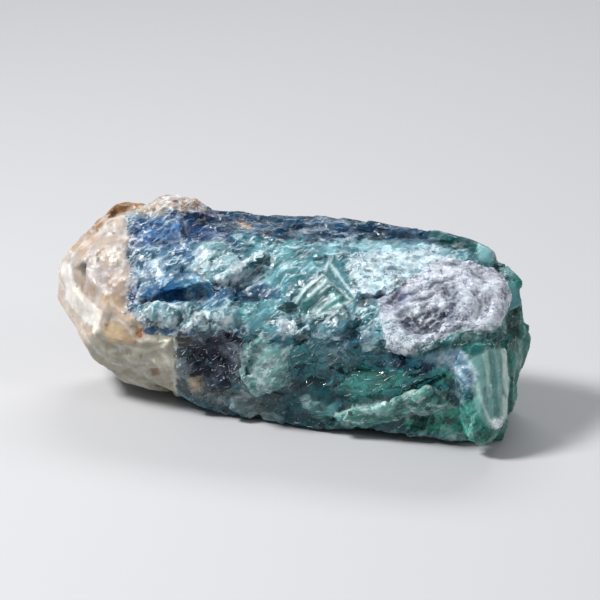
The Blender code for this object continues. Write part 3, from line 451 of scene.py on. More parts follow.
def outline_depth(place, outline):
    """How far inside an outline each place lies; outside it is less than 0."""
    inside = np.zeros(len(place), bool)
    for a, b in zip(outline, outline[1:] + outline[:1]):
        crosses = (a[1] > place[:, 1]) != (b[1] > place[:, 1])
        rise = b[1] - a[1]
        at = a[0] + (place[:, 1] - a[1]) * (b[0] - a[0]) / (rise if rise else 1e-9)
        inside ^= crosses & (place[:, 0] < at)
    nearest = line_distance(place, outline + outline[:1])
    return np.where(inside, nearest, -nearest)


def line_distance(place, line):
    """How far each place lies from a broken line."""
    nearest = np.full(len(place), 1e9)
    corners = np.array(line, float)
    for a, b in zip(corners, corners[1:]):
        run = b - a
        t = np.clip(((place - a) @ run) / (run @ run), 0, 1)
        nearest = np.minimum(nearest, np.linalg.norm(place - a - t[:, None] * run, axis=1))
    return nearest


def laid_on(points, sight):
    """Where the points fall in the flat of a line of sight, in mm right and up."""
    right, up, towards = axes_of(*sight)
    return np.stack((points @ right, points @ up), 1)


def in_mm(corners):
    """Corners on the camera's frame, as mm right and up from the stone's origin."""
    return [((x - FRAME_ZERO[0]) / UNITS_PER_MM, (FRAME_ZERO[1] - y) / UNITS_PER_MM) for x, y in corners]


def field(points, size, seed):
    """Smooth noise from -1 to 1, with lumps of a size in mm."""
    read = noise.noise
    return np.array([read(p) for p in (points / size + seed).tolist()])


def blended(colour, target, share):
    """The colour of every point mixed with another by a share."""
    return colour + (np.array(target) - colour) * share[:, None]


def drawn_out(points, turn, length):
    """The points pressed together along a direction seen by the camera, so that what is made from them
    is drawn out that way."""
    right, up, towards = axes_of(*SIGHT)
    angle = math.radians(turn)
    along = right * math.cos(angle) + up * math.sin(angle)
    return points - np.outer(points @ along, along) * (1 - 1 / length)


def cleavage_normals():
    """The faces of the octahedron that the crystal splits along."""
    turn = Matrix.Rotation(math.radians(CLEAVAGE_TURN[2]), 3, "Z")
    turn @= Matrix.Rotation(math.radians(CLEAVAGE_TURN[1]), 3, "Y")
    turn @= Matrix.Rotation(math.radians(CLEAVAGE_TURN[0]), 3, "X")
    signs = [(x, y, z) for x in (-1, 1) for y in (-1, 1) for z in (-1, 1)]
    return np.array([(turn @ Vector(s)).normalized() for s in signs])


def even_mesh():
    """The solid's surface in even small faces, in metres."""
    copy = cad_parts["fluorite"].data.copy()
    mesh = bmesh.new()
    mesh.from_mesh(copy)
    bmesh.ops.remove_doubles(mesh, verts=mesh.verts, dist=1e-6)
    mesh.to_mesh(copy)
    mesh.free()
    stone = bpy.data.objects.new("stone", copy)
    bpy.context.scene.collection.objects.link(stone)
    remesh = stone.modifiers.new("even", "REMESH")
    remesh.mode = "VOXEL"
    remesh.voxel_size = GRAIN * MM
    bpy.context.view_layer.update()
    even = bpy.data.meshes.new_from_object(stone.evaluated_get(bpy.context.evaluated_depsgraph_get()))
    stone.modifiers.clear()
    stone.data = even
    return stone


def arrays_of(mesh):
    """The mesh's points in mm and its vertex normals."""
    points = np.empty(len(mesh.vertices) * 3)
    mesh.vertices.foreach_get("co", points)
    normals = np.empty(len(mesh.vertices) * 3)
    mesh.vertices.foreach_get("normal", normals)
    return points.reshape(-1, 3) / MM, normals.reshape(-1, 3)


def paint(points):
    """The stone's colour and cloudiness at every point, and how far each kind of surface holds."""
    x, y, z = points.T
    wander = field(points, 7.0, 3.1)
    ripple = field(points, 1.8, 9.7)
    fine = field(points, 0.8, 15.2)
    ragged = 0.62 * ripple + 0.45 * fine

    boundary = CREAM_EDGE + 1.0 * wander + 0.7 * ripple + 0.12 * (z - MIDDLE_Z) * (y < -4)
    kinds = {kind: np.zeros(len(points)) for kind in SURFACES}
    kinds["cream"] = smooth(boundary - x, -1.0, 1.0)
    blue = smooth(-5 + 6 * wander - x, -5, 5)
    green = smooth(x - 12 - 8 * wander, -8, 10) * 0.6 + 0.4 * smooth(12 - z, -4, 6)
    colour = np.array(TEAL) + np.zeros_like(points)
    colour = blended(colour, GREEN, green)
    colour = blended(colour, BLUE, blue * (1 - 0.5 * smooth(12 - z, -3, 4)))
    low = glassy_zone(points)
    colour = blended(colour, DEEP_TEAL, 0.7 * low)
    cloud = 0.50 + 0.20 * wander * (1 - low) - 0.40 * open_zone(points) - 0.22 * smooth(y, 2, 10)
    end = smooth(x, 35.0, 37.5) * smooth(z, 1, 3)
    colour = blended(colour, END_GREEN, end)
    cloud = cloud + (LEAST_CLOUD - cloud) * end
    kinds["smooth"] = 0.6 * end

    round_body = np.stack((y - MIDDLE_Y, z - MIDDLE_Z), 1)
    round_body /= np.linalg.norm(round_body, axis=1)[:, None] + 1e-9
    front = smooth(round_body @ np.array(FRONT_WAY), -0.25, 0.1)
    drawn = np.zeros(len(points))
    lift = np.zeros(len(points))
    for sight, patches, shown in ((SIGHT, PATCHES, front), (BACK_SIGHT, BACK_PATCHES, 1 - front)):
        place = laid_on(points, sight)
        for name, outline, fade, stray, code, solid, strength, surface, stands in patches:
            depth = outline_depth(place, in_mm(outline)) + STRAY_SHARE * stray * ragged
            mask = smooth(depth, -fade / 2, fade / 2) * shown * strength
            for kind, held in kinds.items():
                kinds[kind] = held + (float(kind == surface) - held) * mask
            if surface == "cream":
                drawn = np.maximum(drawn, mask)
            colour = blended(colour, srgb(code), mask)
            cloud = cloud + (solid - cloud) * mask
            lift = lift + stands * mask

    cream_colour = np.array(CREAM) * (0.9 + 0.12 * wander + 0.10 * ripple + 0.06 * fine)[:, None]
    rust = smooth(field(points, 4.5, 41.0) + 0.25 * ripple, 0.20, 0.55)
    cream_colour = cream_colour * (1 - rust[:, None] * np.array((0.08, 0.20, 0.36)))
    mottle = 0.16 * wander + 0.14 * ripple + 0.08 * fine
    colour = colour * (1 + (mottle - 0.10) * drawn)[:, None]
    plain = kinds["cream"] * (1 - drawn)
    colour = blended(colour, cream_colour, plain)
    cloud = np.where(plain > 0.5, 0.95, cloud)

    crystal = (1 - kinds["cream"]) * (1 - 0.8 * kinds["smooth"]) * (1 - 0.7 * kinds["deep"])
    crystal = crystal * (1 - kinds["fluted"]) * (1 - 0.6 * kinds["banded"])
    up = axes_of(*SIGHT)[1]
    # Lighter and darker stripes down the fluted tongue: partly its own streaky green, partly painted light and
    # shade of the flutes.
    flute_light_and_shade = field(points - 0.85 * np.outer(points @ up, up), 1.1, 63.0) * kinds["fluted"]
    colour = colour * (1 + 0.34 * flute_light_and_shade)[:, None]
    cloud = cloud + 0.06 * flute_light_and_shade
    veil = veils(points) * crystal
    cloud = cloud + 0.26 * veil * smooth(cloud, 0.12, 0.45)
    colour = blended(colour, VEIL_WHITE[:3], np.clip(veil, 0, 1) * 0.45 * smooth(cloud, 0.1, 0.6))
    colour = colour * (1 - 0.42 * np.clip(-veil, 0, 1))[:, None]

    place = laid_on(points, SIGHT)
    for line, half, code, solid, strength in STREAKS:
        away = line_distance(place, in_mm(line)) + 0.16 * ragged
        mask = (1 - smooth(away, half, half + 0.28)) * front * strength
        lift = lift + (RIDGE_LIFT if solid > 0.5 and sum(srgb(code)) > 1 else -CRACK_DEPTH) * mask
        colour = blended(colour, srgb(code), mask)
        cloud = cloud + (solid - cloud) * mask
    return np.clip(colour, 0, 1), np.clip(cloud, 0, 1), kinds, lift


def glassy_zone(points):
    """How far each point lies in the clear lower part of the stone."""
    return smooth(CLEAR_TOP - points[:, 2] + 1.5 * field(points, 7.0, 3.1), -2.5, 3.5)


def open_zone(points):
    """How far the clear part is open to the eye: not at the foot of the stone and not near its ends."""
    x, y, z = points.T
    left, right = CLEAR_ENDS
    return glassy_zone(points) * smooth(z, 1.5, 4.0) * smooth(right - x, -2, 3) * smooth(x - left, -2, 2)


def veils(points):
    """White veils (over 0) and clear pockets (under 0), drawn out along the stone's cleavage."""
    total = np.zeros(len(points))
    for turn, size, length, weight, seed in VEILS:
        total += weight * field(drawn_out(points, turn, length), size, seed)
    return np.clip(total * 1.9, -1, 1)


def shards(points, spacing, seed, turn, length):
    """Breaks the surface into shards: the points at their middles, and the shard of each point."""
    chance = np.random.default_rng(seed)
    squeezed = drawn_out(points, turn, length)
    count = int(SURFACE_AREA / spacing ** 2)
    tree = kdtree.KDTree(count)
    picks = chance.choice(len(points), count, replace=False)
    for i, at in enumerate(picks):
        tree.insert(squeezed[at], i)
    tree.balance()
    return picks, np.array([tree.find(p)[1] for p in squeezed.tolist()])


def crushed(points, normals, spacing, lean, jut, seed, turn, length):
    """How far each point moves along its normal to lie on the flat of its shard."""
    picks, shard = shards(points, spacing, seed, turn, length)
    chance = np.random.default_rng(seed)
    count = len(picks)
    own = normals[picks]
    faces = cleavage_normals()
    likely = faces[np.argmax(own @ faces.T, 1)]
    flats = own + likely * lean * chance.uniform(0.2, 1.6, (count, 1))
    flats = flats + chance.normal(0, 0.3 * lean, (count, 3))
    flats /= np.linalg.norm(flats, axis=1)[:, None]
    juts = chance.uniform(-jut, jut, count)
    flat, jutting = flats[shard], juts[shard]
    facing = np.maximum(np.sum(normals * flat, 1), 0.5)
    height = np.sum((points[picks[shard]] - points) * flat, 1) / facing + jutting
    return np.clip(height, -MOST_STEP, MOST_STEP)


def relief(points, normals, cloud, kinds):
    """How far each point moves along its normal, in mm: flats by the kind of surface, and grain."""
    heights = {kind: crushed(points, normals, *values) for kind, values in FLATS.items()}
    hackly = smooth(cloud, 0.35, 0.80)
    height = heights["glassy"] * (1 - hackly) + heights["hackly"] * hackly
    height = height + (heights["banded"] - height) * kinds["banded"]
    height = height + (heights["bladed"] - height) * kinds["bladed"]
    height = height * (1 - 0.6 * kinds["plateau"])
    grain = 0.11 * field(points, 1.3, 5.0) + 0.07 * field(points, 0.62, 25.0)
    height = (height + grain * (0.2 + hackly)) * (1 - 0.85 * kinds["smooth"])
    height = height + (heights["fluted"] - height) * kinds["fluted"]
    worn = 0.45 * heights["worn"] + 0.26 * field(points, 3.2, 51.0) + 0.10 * field(points, 1.3, 61.0)
    return height + (worn - height) * kinds["cream"] - INSET


def add_attribute(mesh, name, values):
    """Stores a number or a colour for every point of a mesh."""
    kind = "FLOAT_COLOR" if values.ndim == 2 else "FLOAT"
    made = mesh.attributes.new(name, kind, "POINT")
    if kind == "FLOAT":
        made.data.foreach_set("value", values.astype(np.float32))
    else:
        rgba = np.concatenate((values, np.ones((len(values), 1))), 1)
        made.data.foreach_set("color", rgba.astype(np.float32).ravel())


def fill(tree, socket, value):
    """Links another socket to this one, or sets its value."""
    if isinstance(value, bpy.types.NodeSocket):
        tree.links.new(value, socket)
    else:
        socket.default_value = value


def node(tree, kind, sockets=None, **settings):
    """A node with its settings, and its sockets filled by name or number."""
    made = tree.nodes.new(kind)
    for name, value in settings.items():
        setattr(made, name, value)
    for name, value in (sockets or {}).items():
        fill(tree, made.inputs[name], value)
    return made


def calc(tree, operation, first, second=0.5, clamp=False):
    """One sum on sockets or numbers."""
    return node(tree, "ShaderNodeMath", {0: first, 1: second}, operation=operation, use_clamp=clamp).outputs[0]


def product(tree, first, *others):
    """Sockets or numbers multiplied in turn."""
    for other in others:
        first = calc(tree, "MULTIPLY", first, other)
    return first


def vector(tree, operation, first, second):
    """One sum on vectors, from sockets or values."""
    sockets = {0: first, "Scale" if operation == "SCALE" else 1: second}
    made = node(tree, "ShaderNodeVectorMath", sockets, operation=operation)
    return made.outputs["Value" if operation == "DOT_PRODUCT" else "Vector"]


def mixed(tree, factor, low, high, blend="MIX"):
    """Two colours mixed by a factor; each may be a socket or a value."""
    sockets = {0: factor, 6: low, 7: high}
    return node(tree, "ShaderNodeMix", sockets, data_type="RGBA", blend_type=blend).outputs[2]


def ranged(tree, value, low, high, to_low, to_high):
    """A value stretched from one span to another."""
    sockets = {"Value": value, "From Min": low, "From Max": high, "To Min": to_low, "To Max": to_high}
    return node(tree, "ShaderNodeMapRange", sockets).outputs["Result"]


def attribute(tree, name, output="Fac"):
    return node(tree, "ShaderNodeAttribute", attribute_name=name).outputs[output]


def new_material(name, sockets):
    """A material with some of its shader's sockets set."""
    material = bpy.data.materials.new(name)
    material.use_nodes = True
    shader = material.node_tree.nodes["Principled BSDF"]
    for label, value in sockets.items():
        shader.inputs[label].default_value = value
    return material, material.node_tree, shader


def new_group(name, inputs, outputs):
    """A shader group with named sockets; returns it with its start and its end."""
    group = bpy.data.node_groups.new(name, "ShaderNodeTree")
    for label, value in inputs.items():
        kind = "NodeSocketVector" if isinstance(value, tuple) else "NodeSocketFloat"
        group.interface.new_socket(label, in_out="INPUT", socket_type=kind).default_value = value
    for label in outputs:
        group.interface.new_socket(label, in_out="OUTPUT", socket_type="NodeSocketFloat")
    return group, node(group, "NodeGroupInput").outputs, node(group, "NodeGroupOutput").inputs


def placed(tree, group, **values):
    """A group placed in a material with its inputs set by name; returns its outputs."""
    sockets = {name.replace("_", " "): value for name, value in values.items()}
    return node(tree, "ShaderNodeGroup", sockets, node_tree=group).outputs


def turned_place(group, given):
    """The place on the stone, turned and then stretched by the group's own inputs."""
    place = node(group, "ShaderNodeTexCoord").outputs["Object"]
    turned = node(group, "ShaderNodeMapping", {"Vector": place, "Rotation": given["Turn"]})
    return vector(group, "MULTIPLY", turned.outputs[0], given["Stretch"])


def breaks_group():
    """Small tilted flats, as a height in metres, with a shade of its own for each flat."""
    group, given, result = new_group("small_breaks", {
        "Flat Size": 0.0008, "Tilt": 0.3, "Turn": (0.0, 0.0, 0.0), "Stretch": UNSTRETCHED}, ("Height", "Shade"))
    place = turned_place(group, given)
    scale = calc(group, "DIVIDE", 1.0, given["Flat Size"])
    cells = node(group, "ShaderNodeTexVoronoi", {"Vector": place, "Scale": scale}, feature="F1")
    from_middle = vector(group, "SUBTRACT", place, cells.outputs["Position"])
    tilt = vector(group, "SUBTRACT", cells.outputs["Color"], (0.5, 0.5, 0.5))
    slope = vector(group, "DOT_PRODUCT", from_middle, tilt)
    fill(group, result["Height"], product(group, slope, given["Tilt"]))
    shade = node(group, "ShaderNodeSeparateColor", {0: cells.outputs["Color"]})
    fill(group, result["Shade"], shade.outputs["Red"])
    return group


def veins_group():
    """White veins that branch through the crystal, and thin dark cracks, both as masks."""
    group, given, result = new_group("veins", {
        "Vein Size": 0.003, "Vein Share": 0.5, "Crack Size": 0.004, "Crack Width": 0.012, "Seed": 0.0,
        "Turn": (0.0, 0.0, 0.0), "Stretch": UNSTRETCHED}, ("Veins", "Cracks"))
    place = turned_place(group, given)
    ridges = node(group, "ShaderNodeTexNoise", {
        "Vector": place, "W": given["Seed"], "Scale": calc(group, "DIVIDE", 1.0, given["Vein Size"]),
        "Detail": 4.0, "Roughness": 0.6, "Offset": 0.85, "Gain": 2.2},
        noise_dimensions="4D", noise_type="RIDGED_MULTIFRACTAL")
    above = calc(group, "SUBTRACT", ridges.outputs["Fac"], given["Vein Share"])
    fill(group, result["Veins"], calc(group, "MULTIPLY", above, 1.6, clamp=True))
    swell = node(group, "ShaderNodeTexNoise", {
        "Vector": place, "W": given["Seed"], "Scale": calc(group, "DIVIDE", 1.0, given["Crack Size"]),
        "Detail": 5.0, "Roughness": 0.62}, noise_dimensions="4D")
    level = calc(group, "ABSOLUTE", calc(group, "SUBTRACT", swell.outputs["Fac"], 0.5))
    width = calc(group, "DIVIDE", level, given["Crack Width"])
    fill(group, result["Cracks"], calc(group, "SUBTRACT", 1.0, width, clamp=True))
    return group


def traces_group():
    """Short straight traces of cleavage, as a mask: thin across them and drawn out along them."""
    group, given, result = new_group("cleavage_traces", {
        "Trace Width": 0.00025, "Trace Share": 0.60, "Turn": (0.0, 0.0, 0.0), "Stretch": (1.0, 0.12, 0.3)},
        ("Traces",))
    streak = node(group, "ShaderNodeTexNoise", {
        "Vector": turned_place(group, given), "Scale": calc(group, "DIVIDE", 1.0, given["Trace Width"]),
        "Detail": 2.0})
    above = calc(group, "SUBTRACT", streak.outputs["Fac"], given["Trace Share"])
    fill(group, result["Traces"], calc(group, "MULTIPLY", above, 12.0, clamp=True))
    return group


def broken_surface(tree, shader, group, *sizes):
    """Turns a shader's surface by flats of two sizes. Returns their shades, and how far it is broken."""
    broken = attribute(tree, "broken")
    large, small = (placed(tree, group, Flat_Size=size, Tilt=tilt, Turn=turn, Stretch=stretch)
                    for size, tilt, turn, stretch in sizes)
    height = product(tree, calc(tree, "ADD", large["Height"], small["Height"]), broken)
    bump = node(tree, "ShaderNodeBump", {"Strength": 1.0, "Distance": 1.0, "Height": height})
    fill(tree, shader.inputs["Normal"], bump.outputs["Normal"])
    return large["Shade"], small["Shade"], broken


def clear_fluorite(groups):
    """Clear crystal: plain transmission and absorption, tinted by its colour zones."""
    material, tree, shader = new_material("clear_fluorite", {
        "Transmission Weight": CLEAR_WEIGHT, "IOR": FLUORITE_IOR, "Specular IOR Level": 0.12})
    large, small, broken = broken_surface(
        tree, shader, groups["breaks"], (0.0018, 0.24, turn_along(32), BLADED),
        (0.0006, 0.14, turn_along(-50), BLADED))
    shaded = mixed(tree, large, attribute(tree, "glass_tint", "Color"), GLASS_SHADE, "MULTIPLY")
    fill(tree, shader.inputs["Base Color"], shaded)
    fill(tree, shader.inputs["Roughness"], ranged(tree, attribute(tree, "cloud"), 0.0, 0.6, 0.03, 0.16))
    absorb = node(tree, "ShaderNodeVolumeAbsorption", {"Color": CLEAR_COLOUR, "Density": CLEAR_DENSITY})
    fill(tree, tree.nodes["Material Output"].inputs["Volume"], absorb.outputs[0])
    return material


def milky_fluorite(groups):
    """Half clear crystal: glossy, with light that spreads far under its surface."""
    material, tree, shader = new_material("milky_fluorite", {
        "IOR": FLUORITE_IOR, "Specular IOR Level": 0.28, "Subsurface Weight": 0.9,
        "Subsurface Radius": (0.6, 1.4, 1.5), "Subsurface Scale": 0.0006})
    large, small, broken = broken_surface(
        tree, shader, groups["breaks"], (0.0015, 0.55, turn_along(38), (1.0, 0.62, 0.9)),
        (0.0005, 0.36, turn_along(-20), (1.0, 0.7, 0.9)))
    veins = placed(tree, groups["veins"], Vein_Size=0.0020, Vein_Share=1.00, Crack_Size=0.005,
                   Crack_Width=0.010, Seed=3.0, Turn=turn_along(36), Stretch=(1.0, 0.45, 1.0))
    along, across = (
        placed(tree, groups["traces"], Trace_Width=width, Trace_Share=share, Turn=turn_along(turn))["Traces"]
        for width, share, turn in ((0.00028, 0.62, 40), (0.00024, 0.63, 8)))
    deep = attribute(tree, "tint", "Color")
    for mask, share in ((large, 0.85), (small, 0.55), (veins["Cracks"], 0.7)):
        deep = mixed(tree, product(tree, mask, share, broken), deep, DEEPER, "MULTIPLY")
    pale = product(tree, calc(tree, "MAXIMUM", along, across), 0.8)
    pale = calc(tree, "MAXIMUM", pale, veins["Veins"])
    pale = product(tree, pale, ranged(tree, attribute(tree, "cloud"), 0.15, 0.60, 0.3, 1.0),
                   attribute(tree, "veined"))
    fill(tree, shader.inputs["Base Color"], mixed(tree, pale, deep, VEIL_WHITE))
    fill(tree, shader.inputs["Roughness"], ranged(tree, small, 0.0, 1.0, 0.16, 0.36))
    return material


def frosted_fluorite(groups):
    """Crystal crushed white at its surface, with a dark grain and thin cracks."""
    material, tree, shader = new_material("frosted_fluorite", {
        "IOR": FLUORITE_IOR, "Subsurface Weight": 0.5, "Subsurface Radius": (0.6, 1.0, 1.1),
        "Subsurface Scale": 0.0004})
    large, small, broken = broken_surface(
        tree, shader, groups["breaks"], (0.0010, 0.36, LARGE_TURN, UNSTRETCHED),
        (0.00036, 0.60, SMALL_TURN, UNSTRETCHED))
    veins = placed(tree, groups["veins"], Vein_Size=0.0018, Vein_Share=0.90, Crack_Size=0.0034,
                   Crack_Width=0.018, Seed=7.0, Turn=turn_along(30), Stretch=(1.0, 0.65, 1.0))
    grained = ranged(tree, attribute(tree, "cloud"), 0.80, 0.96, 0.30, 1.0)
    deep = attribute(tree, "tint", "Color")
    for shade, least, share in ((small, 0.5, 0.85), (large, 0.4, 0.6)):
        grain = product(tree, ranged(tree, shade, least, 1.0, 0.0, share), grained)
        deep = mixed(tree, grain, deep, DARK_GRAIN, "MULTIPLY")
    pale = product(tree, veins["Veins"], attribute(tree, "veined"), 0.7)
    white = mixed(tree, pale, deep, VEIL_WHITE)
    cracked = mixed(tree, product(tree, veins["Cracks"], 0.8), white, DARK_CRACK, "MULTIPLY")
    fill(tree, shader.inputs["Base Color"], cracked)
    fill(tree, shader.inputs["Roughness"], ranged(tree, small, 0.0, 1.0, 0.22, 0.55))
    return material


def cream_crystal(groups):
    """The worn end: dense, waxy and stained with iron."""
    material, tree, shader = new_material("cream_crystal", {
        "IOR": FLUORITE_IOR, "Subsurface Weight": 0.85, "Subsurface Radius": (1.4, 1.1, 0.8),
        "Subsurface Scale": 0.0009})
    large, small, broken = broken_surface(
        tree, shader, groups["breaks"], (0.0018, 0.22, LARGE_TURN, UNSTRETCHED),
        (0.0006, 0.32, SMALL_TURN, UNSTRETCHED))
    veins = placed(tree, groups["veins"], Vein_Size=0.0048, Vein_Share=0.95, Crack_Size=0.009,
                   Crack_Width=0.006, Seed=11.0)
    stained = attribute(tree, "tint", "Color")
    for mask in (ranged(tree, large, 0.3, 1.0, 0.0, 0.22), product(tree, veins["Cracks"], 0.45)):
        stained = mixed(tree, mask, stained, IRON_WASH, "MULTIPLY")
    white = mixed(tree, product(tree, veins["Veins"], 0.55), stained, CREAM_WHITE)
    fill(tree, shader.inputs["Base Color"], white)
    fill(tree, shader.inputs["Roughness"], ranged(tree, small, 0.0, 1.0, 0.28, 0.50))
    return material


def between(group, given, low, high, seed):
    """A number for each fleck between two inputs of the group."""
    sockets = {2: given[low], 3: given[high], "Seed": seed}
    return node(group, "FunctionNodeRandomValue", sockets, data_type="FLOAT").outputs[1]


def fleck_group():
    """Long low chips set along the surface, or sunk under it, where a share allows them."""
    group = bpy.data.node_groups.new("crystal_flecks", "GeometryNodeTree")
    face = group.interface
    face.new_socket("Geometry", in_out="INPUT", socket_type="NodeSocketGeometry")
    for kind, names in FLECK_SOCKETS.items():
        for name in names:
            face.new_socket(name, in_out="INPUT", socket_type="NodeSocket" + kind)
    face.new_socket("Geometry", in_out="OUTPUT", socket_type="NodeSocketGeometry")
    given, end = node(group, "NodeGroupInput").outputs, node(group, "NodeGroupOutput")

    share = node(group, "GeometryNodeInputNamedAttribute", {"Name": given["Where"]}, data_type="FLOAT")
    spread = node(group, "GeometryNodeDistributePointsOnFaces", {
        "Mesh": given["Geometry"], "Seed": given["Seed"],
        "Density": product(group, share.outputs["Attribute"], given["Flecks Per Square Metre"])},
        distribute_method="RANDOM")
    normal = spread.outputs["Normal"]
    depth = product(group, between(group, given, "Shallowest", "Deepest", 1), -1.0)
    sunk = node(group, "GeometryNodeSetPosition", {
        "Geometry": spread.outputs["Points"], "Offset": vector(group, "SCALE", normal, depth)})

    upright = node(group, "ShaderNodeMix", {0: given["Lie On Surface"], 4: given["Facing"], 5: normal},
                   data_type="VECTOR")
    standing = node(group, "FunctionNodeAlignRotationToVector", {"Vector": upright.outputs[1]}, axis="Z")
    stray = node(group, "FunctionNodeRandomValue", {0: (-1.0, -1.0, -1.0), "Seed": 5}, data_type="FLOAT_VECTOR")
    strayed = vector(group, "SCALE", stray.outputs[0], given["Wander"])
    turned = node(group, "FunctionNodeAlignRotationToVector", {
        "Rotation": standing.outputs[0], "Vector": vector(group, "ADD", given["Along"], strayed)},
        axis="X", pivot_axis="Z")

    length = between(group, given, "Shortest", "Longest", 2)
    size = node(group, "ShaderNodeCombineXYZ", {
        "X": length, "Y": product(group, length, given["Width Share"]),
        "Z": product(group, length, given["Thickness Share"])})
    chip = node(group, "GeometryNodeMeshCone", {
        "Vertices": 3, "Radius Top": 0.0, "Radius Bottom": 0.5, "Depth": 1.0})
    grown = node(group, "GeometryNodeInstanceOnPoints", {
        "Points": sunk.outputs[0], "Instance": chip.outputs["Mesh"], "Rotation": turned.outputs[0],
        "Scale": size.outputs[0]})
    real = node(group, "GeometryNodeRealizeInstances", {0: grown.outputs[0]})
    local = node(group, "GeometryNodeInputNamedAttribute", {"Name": "tint"}, data_type="FLOAT_COLOR")
    paler = mixed(group, given["Colour Share"], local.outputs["Attribute"], given["Colour"])
    tinted = node(group, "GeometryNodeStoreNamedAttribute", {
        "Geometry": real.outputs[0], "Name": "tint", "Value": paler}, data_type="FLOAT_COLOR", domain="POINT")
    clad = node(group, "GeometryNodeSetMaterial", {
        "Geometry": tinted.outputs[0], "Material": given["Material"]})
    joined = node(group, "GeometryNodeJoinGeometry", {0: clad.outputs[0]})
    fill(group, joined.inputs[0], given["Geometry"])
    fill(group, end.inputs[0], joined.outputs[0])
    return group


def grow_flecks(stone, group, material, values):
    """Grows one kind of fleck on the stone and keeps the result as a plain mesh."""
    modifier = stone.modifiers.new("flecks", "NODES")
    modifier.node_group = group
    for item in group.interface.items_tree:
        if item.in_out == "INPUT" and item.name in values:
            modifier[item.identifier] = values[item.name]
        elif item.in_out == "INPUT" and item.name == "Material":
            modifier[item.identifier] = material
    bpy.context.view_layer.update()
    grown = bpy.data.meshes.new_from_object(stone.evaluated_get(bpy.context.evaluated_depsgraph_get()))
    stone.modifiers.clear()
    stone.data = grown


def dress(mesh, points, colour, cloud, kinds, even):
    """Stores on the mesh what its materials and flecks read."""
    x, y, z = points.T
    clear = (1 - smooth(cloud, 0.22, 0.42)) * (1 - kinds["cream"])
    calm = 1 - smooth(field(points, 3.4, 71.0), -0.12, 0.22)
    dim = np.maximum(kinds["deep"], np.maximum(kinds["banded"], kinds["flecked"]))
    veined = (1 - 0.85 * even) * (1 - 0.8 * dim) * (1 - 0.7 * glassy_zone(points) * (1 - kinds["crisp"]))
    patchy = 1 - 0.5 * (1 - smooth(field(points, 2.6, 81.0), -0.2, 0.2))
    flecked = 0.04 + 0.6 * clear + 1.4 * kinds["flecked"] + 0.4 * kinds["deep"]
    flecked = flecked * (1 - kinds["cream"]) * (1 - 0.8 * even)
    thick = smooth(x, -24, -18) * smooth(29 - x, 0, 4) * smooth(26 - z, 0, 3)
    for name, values in (
            ("tint", colour), ("glass_tint", np.clip(colour, 0.01, 1) ** GLASS_LIFT), ("cloud", cloud),
            ("broken", (1 - 0.85 * even) * (1 - 0.6 * calm)), ("veined", veined * patchy),
            ("scratched", flecked * (1 - kinds["banded"])), ("band_scratched", flecked * kinds["banded"]),
            ("veiled", clear * thick * smooth(z, 3, 6))):
        add_attribute(mesh, name, values)


def set_slots(mesh, points, cloud, cream, even):
    """Gives every face the material that its cloudiness calls for, a little speckled."""
    corners = np.empty(len(mesh.loops), int)
    mesh.loops.foreach_get("vertex_index", corners)
    starts = np.empty(len(mesh.polygons), int)
    mesh.polygons.foreach_get("loop_start", starts)
    first = corners[starts]
    speckle = field(points, 0.55, 77.0) * 0.8 + field(points, 1.6, 87.0) * 0.5
    speckled = (cloud + SPECKLE * (1 - even) * speckle)[first]
    slots = np.digitize(speckled, (MILKY_FROM, FROSTED_FROM))
    slots = np.where((cream + 0.35 * speckle)[first] > 0.5, WORN, slots)
    mesh.polygons.foreach_set("material_index", slots)


def build_crystal():
    """The dressed stone, which stands for the CAD solid."""
    stone = even_mesh()
    stone.name = "fluorite_crystal"
    mesh = stone.data
    points, normals = arrays_of(mesh)
    colour, cloud, kinds, lift = paint(points)
    colour, cloud = kept_to_shards(points, colour, cloud, kinds)
    points = points + normals * (lift + relief(points, normals, cloud, kinds))[:, None]
    mesh.vertices.foreach_set("co", (points * MM).ravel())
    mesh.update()
    even = np.maximum(kinds["smooth"], kinds["fluted"])
    dress(mesh, points, colour, cloud, kinds, even)

    groups = {"breaks": breaks_group(), "veins": veins_group(), "traces": traces_group()}
    materials = [make(groups) for make in (clear_fluorite, milky_fluorite, frosted_fluorite, cream_crystal)]
    mesh.materials.clear()
    for material in materials:
        mesh.materials.append(material)
    set_slots(mesh, points, cloud, kinds["cream"], even)
    mesh.polygons.foreach_set("use_smooth", np.ones(len(mesh.polygons), bool))
    mesh.set_sharp_from_angle(angle=math.radians(SHARP_FROM))

    group = fleck_group()
    for slot, values in FLECKS:
        grow_flecks(stone, group, materials[slot], values)
    keep_in_box(stone.data)
    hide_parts("fluorite")
    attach(stone, "root")


def kept_to_shards(points, colour, cloud, kinds):
    """Lets colour and cloudiness step from shard to shard, where the crystal is broken."""
    picks, shard = shards(points, SHARD_SIZE, SHARD_SEED, SHARD_WAY, SHARD_LENGTH)
    chance = np.random.default_rng(SHARD_SEED)
    middle = picks[shard]
    loose = 1 - np.maximum(np.maximum(kinds["smooth"], kinds["fluted"]), 0.8 * kinds["crisp"])
    plain = 1 - 0.6 * np.maximum(kinds["plateau"], kinds["cream"])
    hold = SHARD_HOLD * loose * plain * (1 - kinds["cream"])
    shade = 1 + SHARD_SHADE * chance.uniform(-1, 1, len(picks))[shard] * loose * plain
    colour = (colour + (colour[middle] - colour) * hold[:, None]) * shade[:, None]
    cloud = cloud + (cloud[middle] - cloud) * hold
    uneven = chance.uniform(-1, 1, len(picks))[shard] * smooth(cloud, 0.08, 0.40)
    cloud = cloud + SHARD_CLOUD * uneven * loose * plain
    cloud = np.maximum(cloud, LEAST_CLOUD * (1 - open_zone(points)))
    return np.clip(colour, 0, 1), np.clip(cloud, 0, 1)


def keep_in_box(mesh):
    """Keeps every point inside the solid's own box."""
    points = arrays_of(mesh)[0]
    low, high = (np.array(corner) / MM for corner in cad_box)
    mesh.vertices.foreach_set("co", (np.clip(points, low, high) * MM).ravel())
    mesh.update()


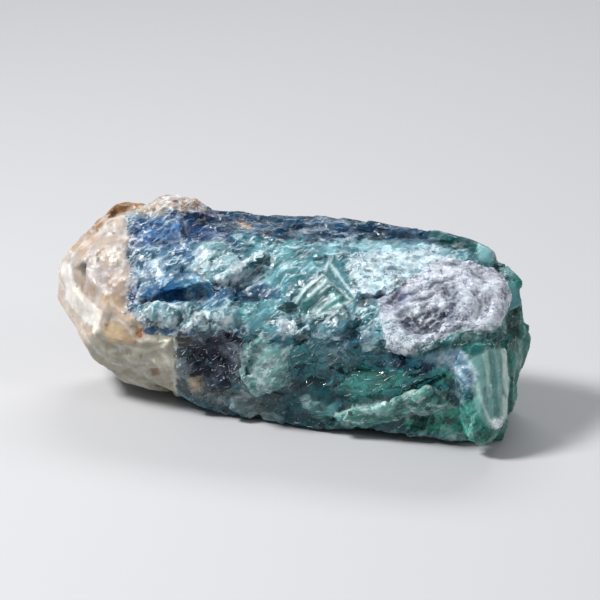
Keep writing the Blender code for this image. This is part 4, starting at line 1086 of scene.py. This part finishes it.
def soft_light(name, place, aim, size, power):
    """A soft lamp at a place, turned to an aim, with its width, height and power."""
    light = bpy.data.lights.new(name, "AREA")
    light.shape = "RECTANGLE"
    light.size, light.size_y = size
    light.energy = power
    lamp = bpy.data.objects.new(name, light)
    lamp.location = place
    lamp.rotation_euler = (Vector(aim) - Vector(place)).to_track_quat("-Z", "Y").to_euler()
    bpy.context.scene.collection.objects.link(lamp)


def build_studio():
    """A plain pale floor, soft lights, and the camera at the stone's own height and side."""
    mesh = bpy.data.meshes.new("floor")
    corners = [(x * FLOOR_HALF, y * FLOOR_HALF, 0) for x, y in ((-1, -1), (1, -1), (1, 1), (-1, 1))]
    mesh.from_pydata(corners, [], [(0, 1, 2, 3)])
    floor = bpy.data.objects.new("floor", mesh)
    bpy.context.scene.collection.objects.link(floor)
    pale = {"Base Color": (0.50, 0.50, 0.51, 1), "Roughness": 0.6}
    mesh.materials.append(new_material("pale_floor", pale)[0])

    world = bpy.data.worlds.new("studio")
    world.use_nodes = True
    sky = world.node_tree.nodes["Background"].inputs
    sky["Color"].default_value = (0.80, 0.84, 0.90, 1)
    sky["Strength"].default_value = 0.26
    bpy.context.scene.world = world
    for lamp in LAMPS:
        soft_light(*lamp)

    right, up, towards = (Vector(axis) for axis in axes_of(*SIGHT))
    camera = bpy.data.cameras.new("camera")
    camera.sensor_width = SENSOR_WIDTH
    camera.lens = SENSOR_WIDTH * CAMERA_DISTANCE / (FRAME_WIDTH_MM * MM)
    camera.clip_start, camera.clip_end = 0.01, 10.0
    eye = bpy.data.objects.new("camera", camera)
    middle_right = (FRAME_UNITS / 2 - FRAME_ZERO[0]) / UNITS_PER_MM
    middle_up = (FRAME_ZERO[1] - FRAME_UNITS / 2) / UNITS_PER_MM
    aim = (right * middle_right + up * middle_up + towards * AIM_DEPTH_MM) * MM
    eye.location = aim + towards * CAMERA_DISTANCE
    eye.rotation_euler = Matrix((right, up, towards)).transposed().to_euler()
    bpy.context.scene.collection.objects.link(eye)
    bpy.context.scene.camera = eye
    bpy.context.scene.view_settings.view_transform = "Standard"


build_crystal()
build_studio()
